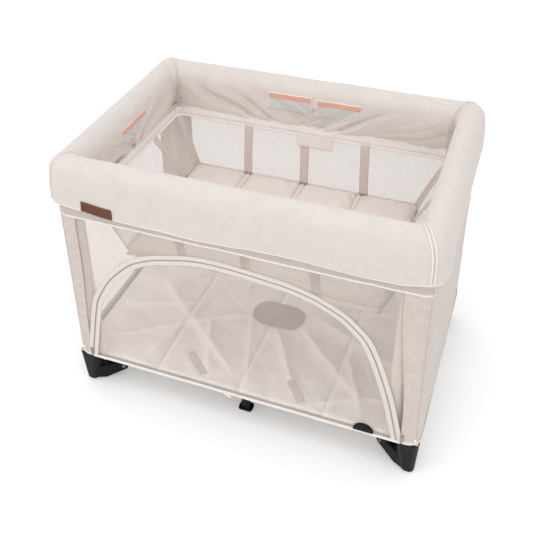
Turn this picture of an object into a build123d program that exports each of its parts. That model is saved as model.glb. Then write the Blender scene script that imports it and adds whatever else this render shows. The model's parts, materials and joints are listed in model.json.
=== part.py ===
from build123d import *
from math import atan2, cos, degrees, hypot, pi, sin, sqrt
import os

# A travel play yard that folds like an umbrella. Four posts stand on corner feet. Under the floor a
# tube runs from each foot to a central hub, and each padded top rail is two half rails that meet at
# a latch. When the hub is pulled up the lower tubes swing down from it, the posts come together and
# the half rails swing down beside them. A bassinet hangs inside and lifts out.
# Millimetres. Origin on the floor under the middle, +X along the long side, +Y to the back, +Z up.

# Overall sizes
LENGTH = 1020.0  # over the rail cover, long way
WIDTH = 693.0  # over the rail cover, short way
RAIL_TOP = 812.0  # top of the rail cover above the floor
HEM_Z = 686.0  # outer hem of the rail cover
SKIRT_Z = 614.0  # lower edge of the rail cover's inner skirt
WALL_BOTTOM = 119.0  # lower hem of the walls
WALL_FLARE = 16.0  # how much further out each end wall stands at its bottom

# Clearances
GAP = 0.3  # between neighbouring pieces that don't move on each other
RUNNING = 0.06  # radial, a rivet in the eye that turns on it
SLIDING = 0.4  # per side, a button or handle in its guide

# Posts
POST_INSET = 30.0  # outside of the cover to the post's axis
POST_R = 13.0
POST_WALL = 1.5
POST_SEAT_Z = 60.0  # where the post stands in its foot

# Half rails and their hinges
RAIL_R = 10.0
RAIL_WALL = 1.2
EYE_R = 11.0  # flattened end of a half rail
EYE_THICK = 10.0
EYE_NECK = 30.0  # from the eye's axis to the round tube
EYE_TAPER = 11.0  # length over which the tube flattens
LUG_R = 16.0  # rounded end of a moulded lug, about its rivet
LUG_WIDTH = 28.0
SLOT_PLAY = 0.5  # per side, an eye in its slot
RIVET_R = 3.0
RIVET_HEAD_R = 5.2
RIVET_HEAD = 1.6
SOCKET_R = 19.0  # moulded socket round the top of a post
SOCKET_DEPTH = 40.0
LUG_ROOT = 5.0  # post axis to the centre of a lug's rounded inner end
GUSSET = 34.0  # web between the two lugs of a corner joint
GUSSET_THICK = 12.0

# Latches in the middle of the rails
LATCH_REACH = 22.0  # middle of the latch to each of its rivets
BUTTON_LENGTH = 11.0
BUTTON_WIDTH = 18.0
BUTTON_DEPTH = 9.0  # in the latch
BUTTON_PROUD = 4.5  # below the latch
BUTTON_TRAVEL = 4.0

# Lower tubes, hub and corner feet
PIVOT_Z = 36.0  # height of every pivot of the lower frame
ARM_REACH = 76.0  # post axis to the foot's pivot
HUB_REACH = 38.0  # middle of the hub to each of its pivots
TUBE_R = 7.0
TUBE_WALL = 1.2
TUBE_EYE_R = 9.0
TUBE_EYE_THICK = 13.0
TUBE_SLOT = 15.0  # slot that a lower tube turns in
ARM_WIDTH = 30.0
ARM_END_R = 15.0
ARM_TOP_Z = 51.0
ARM_WEB = 11.0  # column to the slot of the arm
ARM_ROOT = 8.0  # how far the arm runs into the column past the post's axis
FOOT_SOCKET_R = 19.0
FOOT_SOCKET_TOP = 150.0
# Foot column, from the post's axis: to its outer side along X and Y, and to both its inner sides.
FOOT_TOP_X = 40.0  # at the wall's hem
FOOT_TOP_Y = 27.5
FOOT_TOP_IN = 22.0
FOOT_TOE_X = 36.0  # at the floor
FOOT_TOE_Y = 22.0
FOOT_TOE_SIZE = 36.0  # both ways
FOOT_CORNER_R = 15.0
FOOT_SOLE_R = 7.0
HUB_R = 53.0
HUB_BOTTOM = 20.0
HUB_TOP = 58.0
TOWER_LENGTH = 96.0
TOWER_WIDTH = 44.0
TOWER_CORNER_R = 18.0
TOWER_NECK_R = 26.0
TOWER_HEAD = 30.0  # height of the tower's straight head
HANDLE_LENGTH = 70.0
HANDLE_WIDTH = 16.0
HANDLE_THICK = 12.0
HANDLE_STEM_R = 7.0
HANDLE_STEM = 34.0
HANDLE_CORNER_R = 5.0

# Middle legs
MID_FOOT_INSET = 70.0  # front of the yard to the middle foot
MID_PAD_LENGTH = 42.0
MID_PAD_WIDTH = 32.0
MID_PAD_THICK = 7.0
MID_STEM_LENGTH = 20.0
MID_STEM_WIDTH = 15.0
MID_STEM_TOP = 66.0
MID_SLEEVE_R = 10.5
MID_SLEEVE = 26.0

# Rail cover
COVER_WIDTH = 70.0
COVER_SKIN = 5.5
COVER_PAD = 18.0  # padding over the rails
COVER_CORNER_R = 42.0
COVER_INNER_R = 16.0
COVER_ROUND = 24.0  # rounding of the top edges
WALL_TUCK = 38.0  # how far the walls run up behind the hem

# Walls, door and floor
WALL_THICK = 2.5
HEM_BAND = 13.0  # bound hem below the door
DOOR_BORDER = 32.0  # end of the yard to the foot of the door
DOOR_RISE = 461.0  # wall's hem to the top of the door
DOOR_SIDE_POWER = 3.95
DOOR_TOP_POWER = 1.54
DOOR_POINTS = 28
ZIP_WIDTH = 10.0
FLOOR_THICK = 2.0
MATTRESS_THICK = 24.0
MATTRESS_INSET = 9.0  # wall to mattress
MATTRESS_SECTIONS = 4
CORNER_CLEAR = 24.0  # post axis to the edge of the notch cut round it

# Zip sliders
SLIDER_LENGTH = 14.0
SLIDER_WIDTH = 10.0
SLIDER_THICK = 3.4
SLIDER_START = 26.0  # above the wall's hem
SLIDER_TRAVEL = 100.0
PULL_LENGTH = 26.0
PULL_WIDTH = 7.0
PULL_THICK = 1.6

# Bassinet
BASSINET_HALF_X = 367.0  # outside of its floor
BASSINET_HALF_Y = 247.0
BASSINET_Z = 469.0
BASSINET_RIM = 8.0  # how far its rim stands inside the cover's skirt
BASSINET_SKIN = 2.0
BASSINET_FLOOR_R = 24.0
PAD_THICK = 14.0
ROD_R = 5.0
ROD_SPACING = 184.0
RODS = 3
ROD_CHANNEL = 16.0  # room between two pads for a rod

# Places worked out from the sizes
post_x = LENGTH / 2 - POST_INSET
post_y = WIDTH / 2 - POST_INSET
alpha = atan2(post_y, post_x)
tube_run = hypot(post_x, post_y) - ARM_REACH - HUB_REACH
# The yard closes on itself at every fold angle when each half rail is as long as its share of the tube.
rail_run_x = tube_run * cos(alpha)
rail_run_y = tube_run * sin(alpha)
corner_reach_x = post_x - LATCH_REACH - rail_run_x
corner_reach_y = post_y - LATCH_REACH - rail_run_y
cavity_top = RAIL_TOP - COVER_PAD
rail_z = cavity_top - GAP - LUG_R
slot_width = EYE_THICK + 2 * SLOT_PLAY
wall_x = LENGTH / 2 - COVER_SKIN - GAP
wall_y = WIDTH / 2 - COVER_SKIN - GAP
wall_top = HEM_Z + WALL_TUCK
floor_top = WALL_BOTTOM + FLOOR_THICK
inside_x = LENGTH / 2 - COVER_WIDTH
inside_y = WIDTH / 2 - COVER_WIDTH
door_half = LENGTH / 2 - DOOR_BORDER

CORNERS = {"fl": (-1, -1), "fr": (1, -1), "br": (1, 1), "bl": (-1, 1)}


def save(name, *solids):
    """Writes one named sub-part, of one solid or of several that stay separate."""
    shapes = [s for shape in solids for s in shape.solids()]
    shape = shapes[0] if len(shapes) == 1 else Compound(children=shapes)
    shape.label = name
    export_step(shape, f"parts/{name}.step")


def to_corner(shape, side_x, side_y):
    """A piece modelled at the back right, mirrored to another corner."""
    if side_x < 0:
        shape = mirror(shape, about=Plane.YZ)
    if side_y < 0:
        shape = mirror(shape, about=Plane.XZ)
    return shape


def across(radius, length, x=0.0, z=0.0):
    """A cylinder along Y, centred on y = 0."""
    return Pos(x, 0, z) * Rot(90, 0, 0) * Cylinder(radius, length)


def upright(radius, z0, z1, x=0.0, y=0.0):
    """A cylinder along Z from z0 to z1."""
    return Pos(x, y, (z0 + z1) / 2) * Cylinder(radius, z1 - z0)


def block(x0, x1, y0, y1, z0, z1):
    """A box given by its corners."""
    return Pos((x0 + x1) / 2, (y0 + y1) / 2, (z0 + z1) / 2) * Box(x1 - x0, y1 - y0, z1 - z0)


def lug(start, end, z, radius, width):
    """A bar with round ends in the XZ plane, from start to end along X, width thick along Y."""
    outline = Plane.XZ * make_hull(
        (Pos(start, z) * Circle(radius)).edges() + (Pos(end, z) * Circle(radius)).edges()
    )
    return extrude(outline, width / 2, both=True)


def eyed_tube(run, radius, wall, eye_r, eye_thick):
    """A round tube along +X flattened to an eye at each end, its first eye's axis on Y at the origin."""
    straight = run - 2 * EYE_NECK
    half = Pos(run / 2, 0, 0) * Rot(0, 90, 0) * Cylinder(radius, straight)
    flat = EYE_NECK - EYE_TAPER
    taper = loft(
        [
            Plane((EYE_NECK, 0, 0), x_dir=(0, 1, 0), z_dir=(1, 0, 0)) * Circle(radius),
            Plane((flat, 0, 0), x_dir=(0, 1, 0), z_dir=(1, 0, 0))
            * RectangleRounded(eye_thick, 2 * eye_r, eye_thick * 0.3),
        ]
    )
    eye = across(eye_r, eye_thick) + block(0, flat, -eye_thick / 2, eye_thick / 2, -eye_r, eye_r)
    end = eye + taper - across(RIVET_R + RUNNING, eye_thick * 2)
    other = Pos(run, 0, 0) * Rot(0, 0, 180) * end
    bore = Pos(run / 2, 0, 0) * Rot(0, 90, 0) * Cylinder(radius - wall, straight - 2 * wall)
    return half + end + other - bore


def rivet(length):
    """A rivet along Y whose heads clamp a width of length."""
    shank = across(RIVET_R, length + 2 * RIVET_HEAD)
    head = Rot(90, 0, 0) * Cylinder(RIVET_HEAD_R, RIVET_HEAD)
    head = fillet(head.edges().filter_by(GeomType.CIRCLE).sort_by(Axis.Y)[0], RIVET_HEAD * 0.6)
    offset = length / 2 + RIVET_HEAD / 2 + SLOT_PLAY / 5
    near = Pos(0, -offset, 0) * head
    return shank + near + mirror(near, about=Plane.XZ)


def eye_slot(pivot, direction, z, opens):
    """The room that an eye needs to swing in a lug: open outwards along direction, and up (1) or down (-1)."""
    inner = pivot - direction * (EYE_R + SLOT_PLAY)
    outer = pivot + direction * 2 * LUG_R
    low, high = min(inner, outer), max(inner, outer)
    closed_z = z - opens * (EYE_R + SLOT_PLAY)
    open_z = z + opens * 2 * LUG_R
    bottom, top = min(closed_z, open_z), max(closed_z, open_z)
    return block(low, high, -slot_width / 2, slot_width / 2, bottom, top)


def rivet_hole(pivot, z, width):
    return across(RIVET_R, width, pivot, z)


def corner_joint():
    """The moulding on top of a post, with a lug along each rail. Modelled round the Z axis, lugs to -X and -Y."""
    socket = upright(SOCKET_R, rail_z - SOCKET_DEPTH, rail_z + LUG_R)
    socket = chamfer(socket.edges().group_by(Axis.Z)[0], 1.5)
    along_x = lug(-corner_reach_x, -LUG_ROOT, rail_z, LUG_R, LUG_WIDTH)
    along_x -= eye_slot(-corner_reach_x, -1, rail_z, -1)
    along_x -= rivet_hole(-corner_reach_x, rail_z, LUG_WIDTH)
    along_y = lug(-corner_reach_y, -LUG_ROOT, rail_z, LUG_R, LUG_WIDTH)
    along_y -= eye_slot(-corner_reach_y, -1, rail_z, -1)
    along_y -= rivet_hole(-corner_reach_y, rail_z, LUG_WIDTH)
    web = Plane.XY * make_face(Polyline((0, 0), (-GUSSET, 0), (0, -GUSSET), close=True))
    web = Pos(0, 0, rail_z - GUSSET_THICK / 2) * extrude(web, GUSSET_THICK)
    clear_x = block(-2 * LENGTH, -SOCKET_R, -slot_width / 2, slot_width / 2, 0, 2 * RAIL_TOP)
    clear_y = block(-slot_width / 2, slot_width / 2, -2 * WIDTH, -SOCKET_R, 0, 2 * RAIL_TOP)
    body = socket + along_x + Rot(0, 0, 90) * along_y + (web - clear_x - clear_y)
    return body - upright(POST_R + GAP / 3, 0, rail_z + LUG_R / 2)


def foot():
    """A corner foot round the Z axis: a tapered column, and an arm along +X with the slot of the lower tube."""
    turn = degrees(alpha)
    top = Plane.XY.offset(WALL_BOTTOM - GAP) * Pos(
        (FOOT_TOP_X - FOOT_TOP_IN) / 2, (FOOT_TOP_Y - FOOT_TOP_IN) / 2
    ) * RectangleRounded(FOOT_TOP_X + FOOT_TOP_IN, FOOT_TOP_Y + FOOT_TOP_IN, FOOT_CORNER_R)
    toe = Pos(FOOT_TOE_X - FOOT_TOE_SIZE / 2, FOOT_TOE_Y - FOOT_TOE_SIZE / 2) * RectangleRounded(
        FOOT_TOE_SIZE, FOOT_TOE_SIZE, FOOT_CORNER_R
    )
    column = loft([toe, top])
    column = fillet(column.faces().sort_by(Axis.Z)[0].edges(), FOOT_SOLE_R)
    column += upright(FOOT_SOCKET_R, WALL_BOTTOM / 2, FOOT_SOCKET_TOP)
    column -= upright(POST_R + GAP / 3, POST_SEAT_Z, FOOT_SOCKET_TOP + 1)
    outline = Plane.XZ * make_hull(
        (Pos(ARM_REACH, PIVOT_Z) * Circle(ARM_END_R)).edges()
        + (Pos(FOOT_SOCKET_R, FOOT_SOLE_R / 2 + 2) * Circle(FOOT_SOLE_R / 2)).edges()
        + (Pos(-ARM_ROOT, ARM_TOP_Z - 4) * Circle(4)).edges()
        + (Pos(-ARM_ROOT, 12) * Circle(4)).edges()
    )
    arm = extrude(outline, ARM_WIDTH / 2, both=True)
    arm = fillet(arm.edges().group_by(Axis.Y)[0], 2.0)
    arm = fillet(arm.edges().group_by(Axis.Y)[-1], 2.0)
    slot_floor = PIVOT_Z - TUBE_EYE_R - 2 * SLIDING - 2
    slot_start = FOOT_TOP_IN + ARM_WEB
    recess = block(
        slot_start, 2 * ARM_REACH, -TUBE_SLOT / 2, TUBE_SLOT / 2, slot_floor, 2 * ARM_TOP_Z
    )
    hole = rivet_hole(ARM_REACH, PIVOT_Z, ARM_WIDTH)
    body = Rot(0, 0, 180 - turn) * column + (arm - recess - hole)
    return body - upright(POST_R + GAP / 3, POST_SEAT_Z, FOOT_SOCKET_TOP + 1)


def inward(shape):
    """From the foot's own frame, arm along +X, to the back right post, arm towards the hub."""
    return Pos(post_x, post_y, 0) * Rot(0, 0, 180 + degrees(alpha)) * shape


def latch():
    """The moulding between two half rails, along X about the Z axis."""
    body = lug(-LATCH_REACH, LATCH_REACH, rail_z, LUG_R, LUG_WIDTH)
    body = fillet(body.edges().group_by(Axis.Y)[0], 2.5)
    body = fillet(body.edges().group_by(Axis.Y)[-1], 2.5)
    for side in (-1, 1):
        body -= eye_slot(side * LATCH_REACH, side, rail_z, 1)
        body -= rivet_hole(side * LATCH_REACH, rail_z, LUG_WIDTH)
    pocket_top = rail_z - LUG_R + BUTTON_DEPTH + BUTTON_TRAVEL + SLIDING
    pocket = extrude(
        Plane.XY.offset(rail_z - 2 * LUG_R)
        * RectangleRounded(BUTTON_LENGTH + 2 * SLIDING, BUTTON_WIDTH + 2 * SLIDING, 3.0),
        pocket_top - rail_z + 2 * LUG_R,
    )
    return body - pocket


def button():
    """The latch's push button, under the rail."""
    shape = extrude(
        Plane.XY.offset(rail_z - LUG_R - BUTTON_PROUD)
        * RectangleRounded(BUTTON_LENGTH, BUTTON_WIDTH, 3.0 - SLIDING),
        BUTTON_PROUD + BUTTON_DEPTH,
    )
    return fillet(shape.edges().group_by(Axis.Z)[0], 1.2)


def spokes():
    """The hub's pivot directions, in degrees: four to the corners and two to the middle feet."""
    turn = degrees(alpha)
    return [turn, 180 - turn, 180 + turn, 360 - turn, 90, 270]


def hub():
    """The hub under the floor, with a slot for each tube and a tower that carries the floor."""
    disc = upright(HUB_R, HUB_BOTTOM, HUB_TOP)
    disc = fillet(disc.edges().group_by(Axis.Z)[-1], 8.0)
    disc = chamfer(disc.edges().group_by(Axis.Z)[0], 2.0)
    head_z = WALL_BOTTOM - GAP - TOWER_HEAD
    neck = loft(
        [
            Plane.XY.offset(HUB_TOP - 1) * Circle(TOWER_NECK_R),
            Plane.XY.offset(head_z) * RectangleRounded(TOWER_LENGTH, TOWER_WIDTH, TOWER_CORNER_R),
        ]
    )
    head = extrude(
        Plane.XY.offset(head_z) * RectangleRounded(TOWER_LENGTH, TOWER_WIDTH, TOWER_CORNER_R),
        TOWER_HEAD,
    )
    body = disc + neck + head
    room = TUBE_EYE_R + 1.0
    for angle in spokes():
        slot = block(HUB_REACH - room, 2 * HUB_R, -TUBE_SLOT / 2, TUBE_SLOT / 2, 0, PIVOT_Z + room)
        pin = rivet_hole(HUB_REACH, PIVOT_Z, 4 * RIVET_HEAD_R + TUBE_SLOT)
        body -= Rot(0, 0, angle) * (slot + pin)
    recess_z = WALL_BOTTOM - GAP - HANDLE_THICK - SLIDING
    recess = Plane.XY.offset(recess_z) * RectangleRounded(
        HANDLE_LENGTH + 2 * SLIDING, HANDLE_WIDTH + 2 * SLIDING, HANDLE_CORNER_R + SLIDING
    )
    body -= extrude(recess, HANDLE_THICK * 2)
    return body - upright(HANDLE_STEM_R + SLIDING, recess_z - HANDLE_STEM, recess_z + 1)


def hub_pins():
    """The six pins of the hub, each as long as leaves it inside the moulding."""
    pin = across(RIVET_R, TUBE_SLOT + 2 * RIVET_HEAD_R, HUB_REACH, PIVOT_Z)
    return [Rot(0, 0, angle) * pin for angle in spokes()]


def hub_handle():
    """The pull handle in the hub's tower."""
    top = WALL_BOTTOM - 2 * GAP
    grip = extrude(
        Plane.XY.offset(top - HANDLE_THICK)
        * RectangleRounded(HANDLE_LENGTH, HANDLE_WIDTH, HANDLE_CORNER_R),
        HANDLE_THICK,
    )
    grip = fillet(grip.edges().group_by(Axis.Z)[-1], 3.0)
    return grip + upright(HANDLE_STEM_R, top - HANDLE_THICK - HANDLE_STEM + 1, top - HANDLE_THICK + 1)


def lower_tube():
    """A lower tube from its foot pivot to its hub pivot, along +X of the foot's frame."""
    tube = eyed_tube(tube_run, TUBE_R, TUBE_WALL, TUBE_EYE_R, TUBE_EYE_THICK)
    return Pos(ARM_REACH, 0, PIVOT_Z) * tube


def mid_leg():
    """The back middle leg: a tube along +Y with an eye at the hub and a plain end in the middle foot."""
    end_y = WIDTH / 2 - MID_FOOT_INSET
    length = end_y - HUB_REACH
    eye = across(TUBE_EYE_R, TUBE_EYE_THICK)
    eye += block(0, EYE_NECK - EYE_TAPER, -TUBE_EYE_THICK / 2, TUBE_EYE_THICK / 2, -TUBE_R, TUBE_R)
    flat = EYE_NECK - EYE_TAPER
    eye += loft(
        [
            Plane((EYE_NECK, 0, 0), x_dir=(0, 1, 0), z_dir=(1, 0, 0)) * Circle(TUBE_R),
            Plane((flat, 0, 0), x_dir=(0, 1, 0), z_dir=(1, 0, 0))
            * RectangleRounded(TUBE_EYE_THICK, 2 * TUBE_R, 3.0),
        ]
    )
    eye -= across(RIVET_R + RUNNING, 2 * TUBE_EYE_THICK)
    straight = length - EYE_NECK
    middle = Pos((length + EYE_NECK) / 2, 0, 0) * Rot(0, 90, 0)
    leg = eye + middle * Cylinder(TUBE_R, straight) - middle * Cylinder(TUBE_R - TUBE_WALL, straight - 4)
    return Pos(0, HUB_REACH, PIVOT_Z) * Rot(0, 0, 90) * leg


def mid_foot():
    """The back middle foot: a pad on the floor, a stem and a sleeve on the leg."""
    y = WIDTH / 2 - MID_FOOT_INSET
    pad = Pos(0, y) * RectangleRounded(MID_PAD_LENGTH, MID_PAD_WIDTH, 8.0)
    pad = extrude(pad, MID_PAD_THICK)
    pad = fillet(pad.edges().group_by(Axis.Z)[-1], 2.5)
    stem = loft(
        [
            Plane.XY.offset(MID_PAD_THICK - 1)
            * Pos(0, y)
            * RectangleRounded(MID_STEM_LENGTH + 6, MID_STEM_WIDTH + 8, 4.0),
            Plane.XY.offset(MID_STEM_TOP)
            * Pos(0, y + MID_STEM_WIDTH / 4)
            * RectangleRounded(MID_STEM_LENGTH / 2, MID_STEM_WIDTH, 3.0),
        ]
    )
    sleeve = Pos(0, y - MID_STEM_WIDTH / 4, PIVOT_Z) * Rot(90, 0, 0) * Cylinder(MID_SLEEVE_R, MID_SLEEVE)
    bore = Pos(0, y - LENGTH / 2, PIVOT_Z) * Rot(90, 0, 0) * Cylinder(TUBE_R + GAP / 3, LENGTH)
    return pad + stem + sleeve - bore


def rail_cover():
    """The padded cover over all four rails: open below, with a hem outside and a longer skirt inside."""
    outer = Plane.XY.offset(HEM_Z) * RectangleRounded(LENGTH, WIDTH, COVER_CORNER_R)
    inner = Plane.XY.offset(SKIRT_Z) * RectangleRounded(2 * inside_x, 2 * inside_y, COVER_INNER_R)
    ring = extrude(outer, RAIL_TOP - HEM_Z) - extrude(inner, 2 * RAIL_TOP)
    ring = fillet(ring.faces().sort_by(Axis.Z)[-1].edges(), COVER_ROUND)
    skirt = Plane.XY.offset(SKIRT_Z) * RectangleRounded(
        2 * (inside_x + COVER_SKIN), 2 * (inside_y + COVER_SKIN), COVER_INNER_R + COVER_SKIN
    )
    ring += extrude(skirt, HEM_Z - SKIRT_Z) - extrude(inner, 2 * RAIL_TOP)
    room = Plane.XY.offset(HEM_Z) * RectangleRounded(
        LENGTH - 2 * COVER_SKIN, WIDTH - 2 * COVER_SKIN, COVER_CORNER_R - COVER_SKIN
    )
    room = extrude(room, cavity_top - HEM_Z)
    room -= extrude(skirt, 2 * RAIL_TOP)
    return ring - room


def quarters(half_x, half_y):
    """The yard divided into its four sides by a diagonal cut through each corner of a rectangle."""
    far = LENGTH / 4
    near = COVER_WIDTH + COVER_INNER_R
    cut = GAP / sqrt(2)
    across_x = half_x - cut
    across_y = half_y - cut
    front = Polyline(
        (-across_x - far, -half_y - far),
        (across_x + far, -half_y - far),
        (across_x - near, -half_y + near),
        (-across_x + near, -half_y + near),
        close=True,
    )
    left = Polyline(
        (-half_x - far, -across_y - far),
        (-half_x + near, -across_y + near),
        (-half_x + near, across_y - near),
        (-half_x - far, across_y + far),
        close=True,
    )
    front = extrude(make_face(front), 2 * RAIL_TOP)
    left = extrude(make_face(left), 2 * RAIL_TOP)
    return {
        "front": front,
        "right": mirror(left, about=Plane.YZ),
        "back": mirror(front, about=Plane.XZ),
        "left": left,
    }


def wall_tube(inset):
    """The space inside the four walls, flared along X at the bottom and smaller all round by inset."""
    radius = COVER_CORNER_R - COVER_SKIN - GAP - inset
    sections = [
        Plane.XY.offset(z) * RectangleRounded(2 * (half - inset), 2 * (wall_y - inset), radius)
        for z, half in ((WALL_BOTTOM, wall_x + WALL_FLARE), (HEM_Z, wall_x))
    ]
    return loft(sections, ruled=True) + extrude(sections[-1], wall_top - HEM_Z)


def door_outline(shrink):
    """The door's arch in the XZ plane, smaller all round by shrink."""
    half, rise = door_half - shrink, DOOR_RISE - HEM_BAND - shrink
    base = WALL_BOTTOM + HEM_BAND + min(shrink, 0)
    points = []
    for i in range(DOOR_POINTS + 1):
        angle = pi * i / DOOR_POINTS
        side = -1 if cos(angle) > 0 else 1
        x = side * half * abs(cos(angle)) ** (2 / DOOR_SIDE_POWER)
        z = base + rise * abs(sin(angle)) ** (2 / DOOR_TOP_POWER)
        points.append((x, z))
    arch = Spline(*points)
    return Plane.XZ * make_face(arch + Line(points[-1], points[0]))


def door_prism(shrink):
    """The door's outline through the front wall."""
    return Pos(0, -wall_y + LUG_R, 0) * extrude(door_outline(shrink), 2 * LUG_R)


def door_edge(height):
    """How far from the middle the zip's outer edge is, at a height above its foot."""
    rise = DOOR_RISE - HEM_BAND
    sine = (height / rise) ** (DOOR_TOP_POWER / 2)
    return door_half * (1 - sine**2) ** (1 / DOOR_SIDE_POWER)


def zip_slider():
    """The right zip slider with its pull hanging, in front of the wall."""
    height = SLIDER_START - HEM_BAND
    x = door_edge(height) - ZIP_WIDTH / 2
    z = WALL_BOTTOM + SLIDER_START
    front = -wall_y - GAP
    body = block(
        x - SLIDER_WIDTH / 2,
        x + SLIDER_WIDTH / 2,
        front - SLIDER_THICK,
        front,
        z - SLIDER_LENGTH / 2,
        z + SLIDER_LENGTH / 2,
    )
    body = fillet(body.edges().filter_by(Axis.Y), 3.0)
    pull_y = front - SLIDER_THICK - GAP
    outline = Plane.XZ * Pos(x, z + PULL_WIDTH / 2 - PULL_LENGTH / 2) * RectangleRounded(
        PULL_WIDTH, PULL_LENGTH, PULL_WIDTH * 0.4
    )
    pull = Pos(0, pull_y, 0) * extrude(outline, PULL_THICK)
    return body, pull


def corner_notches():
    """Four boxes that leave room for the posts and feet in a flat piece."""
    notch = block(
        post_x - CORNER_CLEAR, LENGTH, post_y - CORNER_CLEAR, WIDTH, WALL_BOTTOM - 1, RAIL_TOP
    )
    return [to_corner(notch, sx, sy) for sx, sy in CORNERS.values()]


def floor_panel():
    """The fabric floor, with a slot for the hub's handle."""
    half_x = wall_x + WALL_FLARE - WALL_THICK - 2 * GAP
    half_y = wall_y - WALL_THICK - GAP
    panel = block(-half_x, half_x, -half_y, half_y, WALL_BOTTOM, floor_top)
    for notch in corner_notches():
        panel -= notch
    slot = Plane.XY.offset(WALL_BOTTOM - 1) * RectangleRounded(
        HANDLE_LENGTH + 4 * GAP + 4, HANDLE_WIDTH + 4 * GAP + 4, HANDLE_CORNER_R
    )
    return panel - extrude(slot, 4 * FLOOR_THICK)


def mattress():
    """The folding mattress: equal sections side by side."""
    half_x = wall_x + WALL_FLARE - WALL_THICK - MATTRESS_INSET
    half_y = wall_y - WALL_THICK - MATTRESS_INSET
    step = 2 * half_x / MATTRESS_SECTIONS
    low = floor_top + GAP
    sections = []
    for i in range(MATTRESS_SECTIONS):
        x0 = -half_x + i * step
        section = block(
            x0 + GAP / 2, x0 + step - GAP / 2, -half_y, half_y, low, low + MATTRESS_THICK
        )
        for notch in corner_notches():
            section -= notch
        sections.append(fillet(section.edges().group_by(Axis.Z)[-1], 6.0))
    return sections


def bassinet_shell():
    """The bassinet's floor and walls, open above, spreading to the rail cover's skirt."""
    rim_z = SKIRT_Z + BASSINET_RIM

    def tub(inset, base):
        return loft(
            [
                Plane.XY.offset(base)
                * RectangleRounded(
                    2 * (BASSINET_HALF_X - inset), 2 * (BASSINET_HALF_Y - inset), BASSINET_FLOOR_R
                ),
                Plane.XY.offset(rim_z)
                * RectangleRounded(
                    2 * (inside_x - GAP - inset), 2 * (inside_y - GAP - inset), BASSINET_FLOOR_R
                ),
            ],
            ruled=True,
        )

    return tub(0, BASSINET_Z) - tub(BASSINET_SKIN, BASSINET_Z + BASSINET_SKIN)


def rod_places():
    """Where the rods lie along X."""
    return [(i - (RODS - 1) / 2) * ROD_SPACING for i in range(RODS)]


def bassinet_pads():
    """The padded panels of the bassinet's floor, one more than there are rods."""
    low = BASSINET_Z + BASSINET_SKIN + GAP
    half_y = BASSINET_HALF_Y - BASSINET_SKIN - 2 * GAP
    end = BASSINET_HALF_X - BASSINET_SKIN - 2 * GAP
    edges = [-end]
    for x in rod_places():
        edges += [x - ROD_CHANNEL / 2, x + ROD_CHANNEL / 2]
    edges.append(end)
    pads = []
    for x0, x1 in zip(edges[0::2], edges[1::2]):
        pad = block(x0, x1, -half_y, half_y, low, low + PAD_THICK)
        outer = [e for e in pad.edges().filter_by(Axis.Z) if abs(abs(e.center().X) - end) < GAP]
        if outer:
            pad = fillet(outer, BASSINET_FLOOR_R)
        pads.append(fillet(pad.edges().group_by(Axis.Z)[-1], 4.0))
    return pads


def bassinet_rods():
    """The stiffening rods under the bassinet's floor cloth."""
    z = BASSINET_Z + BASSINET_SKIN + GAP + ROD_R
    length = 2 * (BASSINET_HALF_Y - BASSINET_SKIN - 3 * GAP - ROD_R)
    return [Pos(x, 0, z) * Rot(90, 0, 0) * Cylinder(ROD_R, length) for x in rod_places()]


os.makedirs("parts", exist_ok=True)

# Corner assemblies: foot, post, corner joint and their rivets, and the tube to the hub.
foot_shape = inward(foot())
post_shape = Pos(post_x, post_y, 0) * (
    upright(POST_R, POST_SEAT_Z + GAP / 3, rail_z + LUG_R / 2 - GAP / 3)
    - upright(POST_R - POST_WALL, 0, 2 * RAIL_TOP)
)
corner_shape = Pos(post_x, post_y, 0) * corner_joint()
foot_pin = inward(Pos(ARM_REACH, 0, PIVOT_Z) * rivet(ARM_WIDTH))
rail_pin_x = Pos(post_x - corner_reach_x, post_y, rail_z) * rivet(LUG_WIDTH)
rail_pin_y = Pos(post_x, post_y - corner_reach_y, rail_z) * Rot(0, 0, 90) * rivet(LUG_WIDTH)
tube_shape = inward(lower_tube())
for corner, (sx, sy) in CORNERS.items():
    save(f"foot_{corner}", to_corner(foot_shape, sx, sy))
    save(f"post_{corner}", to_corner(post_shape, sx, sy))
    save(f"corner_joint_{corner}", to_corner(corner_shape, sx, sy))
    save(f"lower_tube_{corner}", to_corner(tube_shape, sx, sy))
    pins = [to_corner(pin, sx, sy) for pin in (foot_pin, rail_pin_x, rail_pin_y)]
    save(f"rivets_{corner}", *pins)

# Half rails, each named for its side and the end of the side that it is hinged at.
long_rail = (
    Pos(post_x - corner_reach_x, post_y, rail_z)
    * Rot(0, 0, 180)
    * eyed_tube(rail_run_x, RAIL_R, RAIL_WALL, EYE_R, EYE_THICK)
)
short_rail = (
    Pos(post_x, post_y - corner_reach_y, rail_z)
    * Rot(0, 0, -90)
    * eyed_tube(rail_run_y, RAIL_R, RAIL_WALL, EYE_R, EYE_THICK)
)
for corner, (sx, sy) in CORNERS.items():
    end = "right" if sx > 0 else "left"
    side = "back" if sy > 0 else "front"
    save(f"rail_{side}_{end}", to_corner(long_rail, sx, sy))
    save(f"rail_{end}_{side}", to_corner(short_rail, sx, sy))

# Latches with their rivets, and their buttons.
SIDES = {
    "front": Pos(0, -post_y, 0),
    "back": Pos(0, post_y, 0),
    "left": Pos(-post_x, 0, 0) * Rot(0, 0, 90),
    "right": Pos(post_x, 0, 0) * Rot(0, 0, 90),
}
latch_parts = [latch()] + [
    Pos(side * LATCH_REACH, 0, rail_z) * rivet(LUG_WIDTH) for side in (-1, 1)
]
button_shape = button()
for side, place in SIDES.items():
    save(f"latch_{side}", *[place * piece for piece in latch_parts])
    save(f"latch_button_{side}", place * button_shape)

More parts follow.
